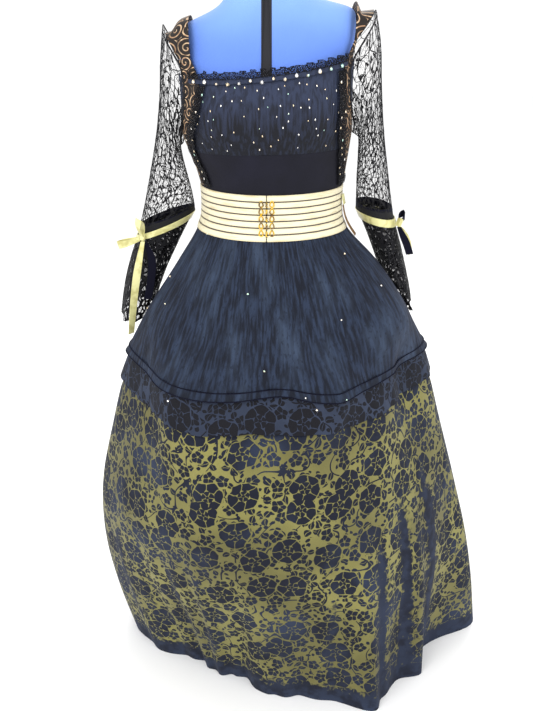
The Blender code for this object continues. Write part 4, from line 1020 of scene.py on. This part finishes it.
devore = Flock(
    "olive_devore", GOLD_LIGHT, 0.6, Sheen_Weight=0.04, Specular_IOR_Level=0.25,
    Sheen_Tint=(0.55, 0.60, 0.85, 1.0),
)
flock = devore.flowers()
gold = devore.mix(devore.ramp(devore.noise(5.0, 3.0), 0.35, 0.65), GOLD_LIGHT, GOLD_DARK)
gold = devore.mix(devore.ramp(devore.noise(420.0), 0.4, 0.7, 0.0, 0.25), gold, GOLD_DARK)
# Painted sheen and shade: along the fold edges, towards the hem and just under the flounce, the
# flock is drawn solid over the gold, in mottled bluer pile.
painted_sheen_shade = devore.add("Attribute", {"attribute_name": "painted_sheen_shade"}).outputs["Fac"]
mottled = devore.times(painted_sheen_shade, devore.ramp(devore.noise(38.0, 4.0), 0.38, 0.62, 0.15, 1.0))
# Painted sheen: large patches of the pile, and the mottled bands, are drawn in the bluer sheen
# colour.
sheen_share = devore.calc("MAXIMUM", devore.ramp(devore.noise(7.0, 4.0), 0.42, 0.72), mottled)
pile = devore.mix(sheen_share, FLOCK, FLOCK_SHEEN)
# The painted bands, with ragged edges, join the flock cover.
ragged_painted_bands = devore.plus(painted_sheen_shade, devore.times(devore.minus(devore.noise(90.0, 3.0), 0.5), 0.8))
cover = devore.calc("MAXIMUM", flock, devore.ramp(ragged_painted_bands, 0.42, 0.62))
devore.colour(devore.mix(cover, gold, pile))
devore.put(devore.shader, "Roughness", devore.plus(devore.times(cover, 0.35), 0.55))
devore.bump(devore.plus(cover, devore.times(devore.noise(900.0), 0.25)), 0.0006)

levels = [FLOOR_GAP + (COVERED_Z - FLOOR_GAP) * (i / 60) for i in range(61)]
levels += [0.685, 0.712, 0.74, 0.77, 0.80, 0.84, 0.90, 0.94, 0.972, WAIST_Z]
reach = fine_reach("skirt", levels) + creased(levels, SKIRT_CREASES, 0.0)
tucked = np.interp(levels, (0.63, COVERED_Z, 0.96, WAIST_Z), (0.0, UNDER_GAP, UNDER_GAP, 0.0))
reach -= tucked[:, None]
skirt = shell("skirt_cloth", levels, reach, SHELL_WALL, devore, "olive_devore", "skirt")

# Painted sheen and shade on the fold edges, where the pile is drawn solid: bearing at the hem,
# drift towards the top, half width, top z, strength
PAINTED_SHEEN_BANDS = (
    (300, -3.0, 3.0, 0.40, 0.55),
    (318, -2.0, 3.4, 0.52, 0.75),
    (331, -2.0, 3.2, 0.60, 0.75),
    (340, -3.0, 24.0, 0.70, 0.42),
    (345, -2.0, 3.6, 0.62, 0.80),
    (4, 0.0, 4.0, 0.66, 0.75),
    (236, 1.0, 2.4, 0.36, 0.45),
    (222, 2.0, 3.0, 0.50, 0.50),
    (206, 3.0, 12.0, 0.60, 0.42),
    (196, 2.0, 3.4, 0.50, 0.60),
    (30, 1.0, 4.0, 0.55, 0.60),
    (56, 1.0, 18.0, 0.55, 0.36),
    (80, 1.0, 4.0, 0.55, 0.60),
    (104, 0.0, 3.0, 0.50, 0.45),
    (128, 0.0, 4.0, 0.55, 0.60),
    (156, 0.0, 16.0, 0.55, 0.36),
)
# Painted sheen and shade for each point of the skirt: a band towards the hem, a band just under
# the flounce, and the fold bands.
bearings = np.arange(FINE_COLUMNS) * 360 / FINE_COLUMNS
painted_shade_rows = []
for z in levels:
    low, high = max(0.0, 1.0 - z / HEM_SHADE_HEIGHT), 0.30 * max(0.0, 1.0 - (FLOUNCE_HEM_Z - z) / 0.10)
    row = np.full(FINE_COLUMNS, 1.1 * low + high)
    for hem_bearing, drift, half_width, top_z, strength in PAINTED_SHEEN_BANDS:
        if z < top_z:
            fall = 1 - z / top_z
            away = (bearings - hem_bearing - drift * (1 - fall) + 180) % 360 - 180
            fold = np.exp(-((away / half_width) ** 2)) * min(fall * 3.0, 1.0)
            row = np.maximum(row, strength * fold)
    painted_shade_rows.append(row)
attribute = skirt.data.attributes.new("painted_sheen_shade", "FLOAT", "POINT")
attribute.data.foreach_set("value", np.tile(np.ravel(painted_shade_rows), 2).astype(np.float32))

SHEER_GROUND, SHEER_LIGHT, SHEER_FLOCK = (
    (0.017, 0.024, 0.045), (0.028, 0.038, 0.068), (0.003, 0.003, 0.006)
)
tier = Flock(
    "navy_devore", SHEER_GROUND, 0.8, Sheen_Weight=0.05, Specular_IOR_Level=0.25,
    Sheen_Tint=NAVY_SHEEN,
)
dark_flock = tier.flowers(0.9)
ground = tier.mix(tier.ramp(tier.noise(12.0, 3.0), 0.35, 0.7), SHEER_GROUND, SHEER_LIGHT)
tier.colour(tier.mix(dark_flock, ground, SHEER_FLOCK))
tier.bump(tier.plus(dark_flock, tier.times(tier.noise(900.0), 0.3)), 0.0006)
FLOUNCE_CREASES = tuple((b, 0.0, 0.70, 2.6, 0.003) for b in range(4, 360, 13))
levels = [FLOUNCE_HEM_Z + FLOUNCE_TALL * i / 16 for i in range(17)]
reach = fine_reach("flounce", levels) + creased(levels, FLOUNCE_CREASES, FLOUNCE_HEM_Z, 0.5)
reach -= np.interp(levels, (0.69, 0.725, 0.80), (0.0, 0.0022, 0.0015))[:, None]
flounce = shell("flounce_cloth", levels, reach, SHELL_WALL, tier, "navy_devore", "flounce")

LACE_NAVY, LACE_LIGHT, LACE_DARK = (
    (0.017, 0.027, 0.054), (0.050, 0.074, 0.125), (0.004, 0.006, 0.013)
)
overlace = Finish(
    "navy_overlace", LACE_NAVY, 0.85, Sheen_Weight=0.04, Specular_IOR_Level=0.25,
    Sheen_Tint=(0.40, 0.45, 0.75, 1.0),
)
lace_where = overlace.round_the_body(0.22)
streaks = overlace.noise(62.0, 5.0, (2.6, 0.42, 1.0), lace_where)
marks = overlace.noise(120.0, 3.0, (1.6, 0.8, 1.0), lace_where)
patches = overlace.noise(14.0, 3.0, (1.3, 0.5, 1.0), lace_where)
lace_tone = overlace.mix(overlace.ramp(streaks, 0.38, 0.66), LACE_DARK, LACE_NAVY)
lace_tone = overlace.mix(overlace.ramp(patches, 0.46, 0.76, 0.0, 0.55), lace_tone, LACE_LIGHT)
lace_tone = overlace.mix(overlace.ramp(marks, 0.55, 0.66, 0.0, 0.55), lace_tone, LACE_DARK)
overlace.colour(lace_tone)
overlace.bump(overlace.plus(streaks, marks), 0.0012)
OVERSKIRT_CREASES = (
    (222, 2.0, 0.93, 4.0, 0.0022),
    (240, 1.0, 0.90, 4.5, 0.0026),
    (256, 0.0, 0.93, 4.0, 0.0020),
    (272, -1.0, 0.88, 4.0, 0.0026),
    (288, -1.0, 0.94, 4.5, 0.0022),
    (305, -2.0, 0.90, 4.5, 0.0026),
    (322, -2.0, 0.94, 4.0, 0.0024),
    (343, 0.0, 0.90, 5.0, 0.0026),
    (12, 0.0, 0.93, 5.0, 0.0024),
    (40, 1.0, 0.90, 5.0, 0.0026),
    (66, 0.0, 0.93, 5.0, 0.0022),
    (92, -1.0, 0.91, 5.0, 0.0026),
    (118, 0.0, 0.93, 5.0, 0.0024),
    (144, 1.0, 0.90, 5.0, 0.0026),
    (172, 0.0, 0.93, 5.0, 0.0024),
    (200, 1.0, 0.91, 4.5, 0.0026),
)
levels = [OVERSKIRT_HEM_Z + (WAIST_Z - OVERSKIRT_HEM_Z) * i / 36 for i in range(37)]
reach = fine_reach("overskirt", levels) + creased(levels, OVERSKIRT_CREASES, 0.60, 0.3)
overskirt = shell("overskirt_cloth", levels, reach, SHELL_WALL, overlace, "navy_lace", "overskirt")


# Hem of the overskirt and its beads
# A band of the same lace turned up between two black cords, and small gilt beads sewn
# here and there.
BAND_LOW_Z, BAND_TALL, BAND_WALL, PIPING = 0.712, 0.0134, 0.0018, 0.0011
BEAD_RADIUS, BACK_BEADS, BEAD_SEED = 0.0021, 26, 21
# Beads in view, as columns and rows of a picture this size taken with this focal length
BEAD_SPOTS = (
    (208, 234), (248, 294), (341, 320), (380, 286), (344, 254), (166, 304),
    (175, 386), (306, 398), (264, 371), (169, 401), (346, 400), (317, 410),
)
VIEW_SIZE, VIEW_FOCAL = (533, 711), 808.0

levels = [BAND_LOW_Z + BAND_TALL * i / 4 for i in range(5)]
reach = fine_reach("overskirt_binding", levels)
binding = shell(
    "binding_cloth", levels, reach, BAND_WALL, overlace, "navy_binding", "overskirt_binding"
)
paths = []
for row in (0, -1):
    ring = []
    for column in range(FINE_COLUMNS + 1):
        angle = 2 * math.pi * column / FINE_COLUMNS
        out = Vector((math.cos(angle), math.sin(angle), 0.0))
        r = reach[row][column % FINE_COLUMNS] + PIPING / 2
        ring.append((out * r + Vector((0, 0, levels[row])), out))
    paths.append(ring)
piping = ribbons("binding_piping", paths, [PIPING * 2] * 2, PIPING * 2, velvet, "navy_binding")

skirt_surface = surface_of("overskirt", "overskirt_binding", "flounce")
tilt = math.radians(CAMERA_TILT)
spots = []
for column, row in BEAD_SPOTS:
    right = (column - VIEW_SIZE[0] / 2) / VIEW_FOCAL
    up = (VIEW_SIZE[1] / 2 - row) / VIEW_FOCAL
    ahead = math.cos(tilt) + up * math.sin(tilt)
    ray = Vector((right, ahead, up * math.cos(tilt) - math.sin(tilt)))
    place, normal, _, _ = skirt_surface.ray_cast(Vector(CAMERA_PLACE), ray.normalized())
    if place is not None:
        spots.append((place, normal))
draw = random.Random(BEAD_SEED)
for _ in range(BACK_BEADS):
    place, normal = at_bearing(skirt_surface, draw.uniform(0, 190), draw.uniform(0.73, 0.93))
    if place is not None:
        spots.append((place, normal))
beads = scatter("overskirt_beads", spots, (BEAD_RADIUS,) * 3, crystal, "navy_lace", 8, 6)
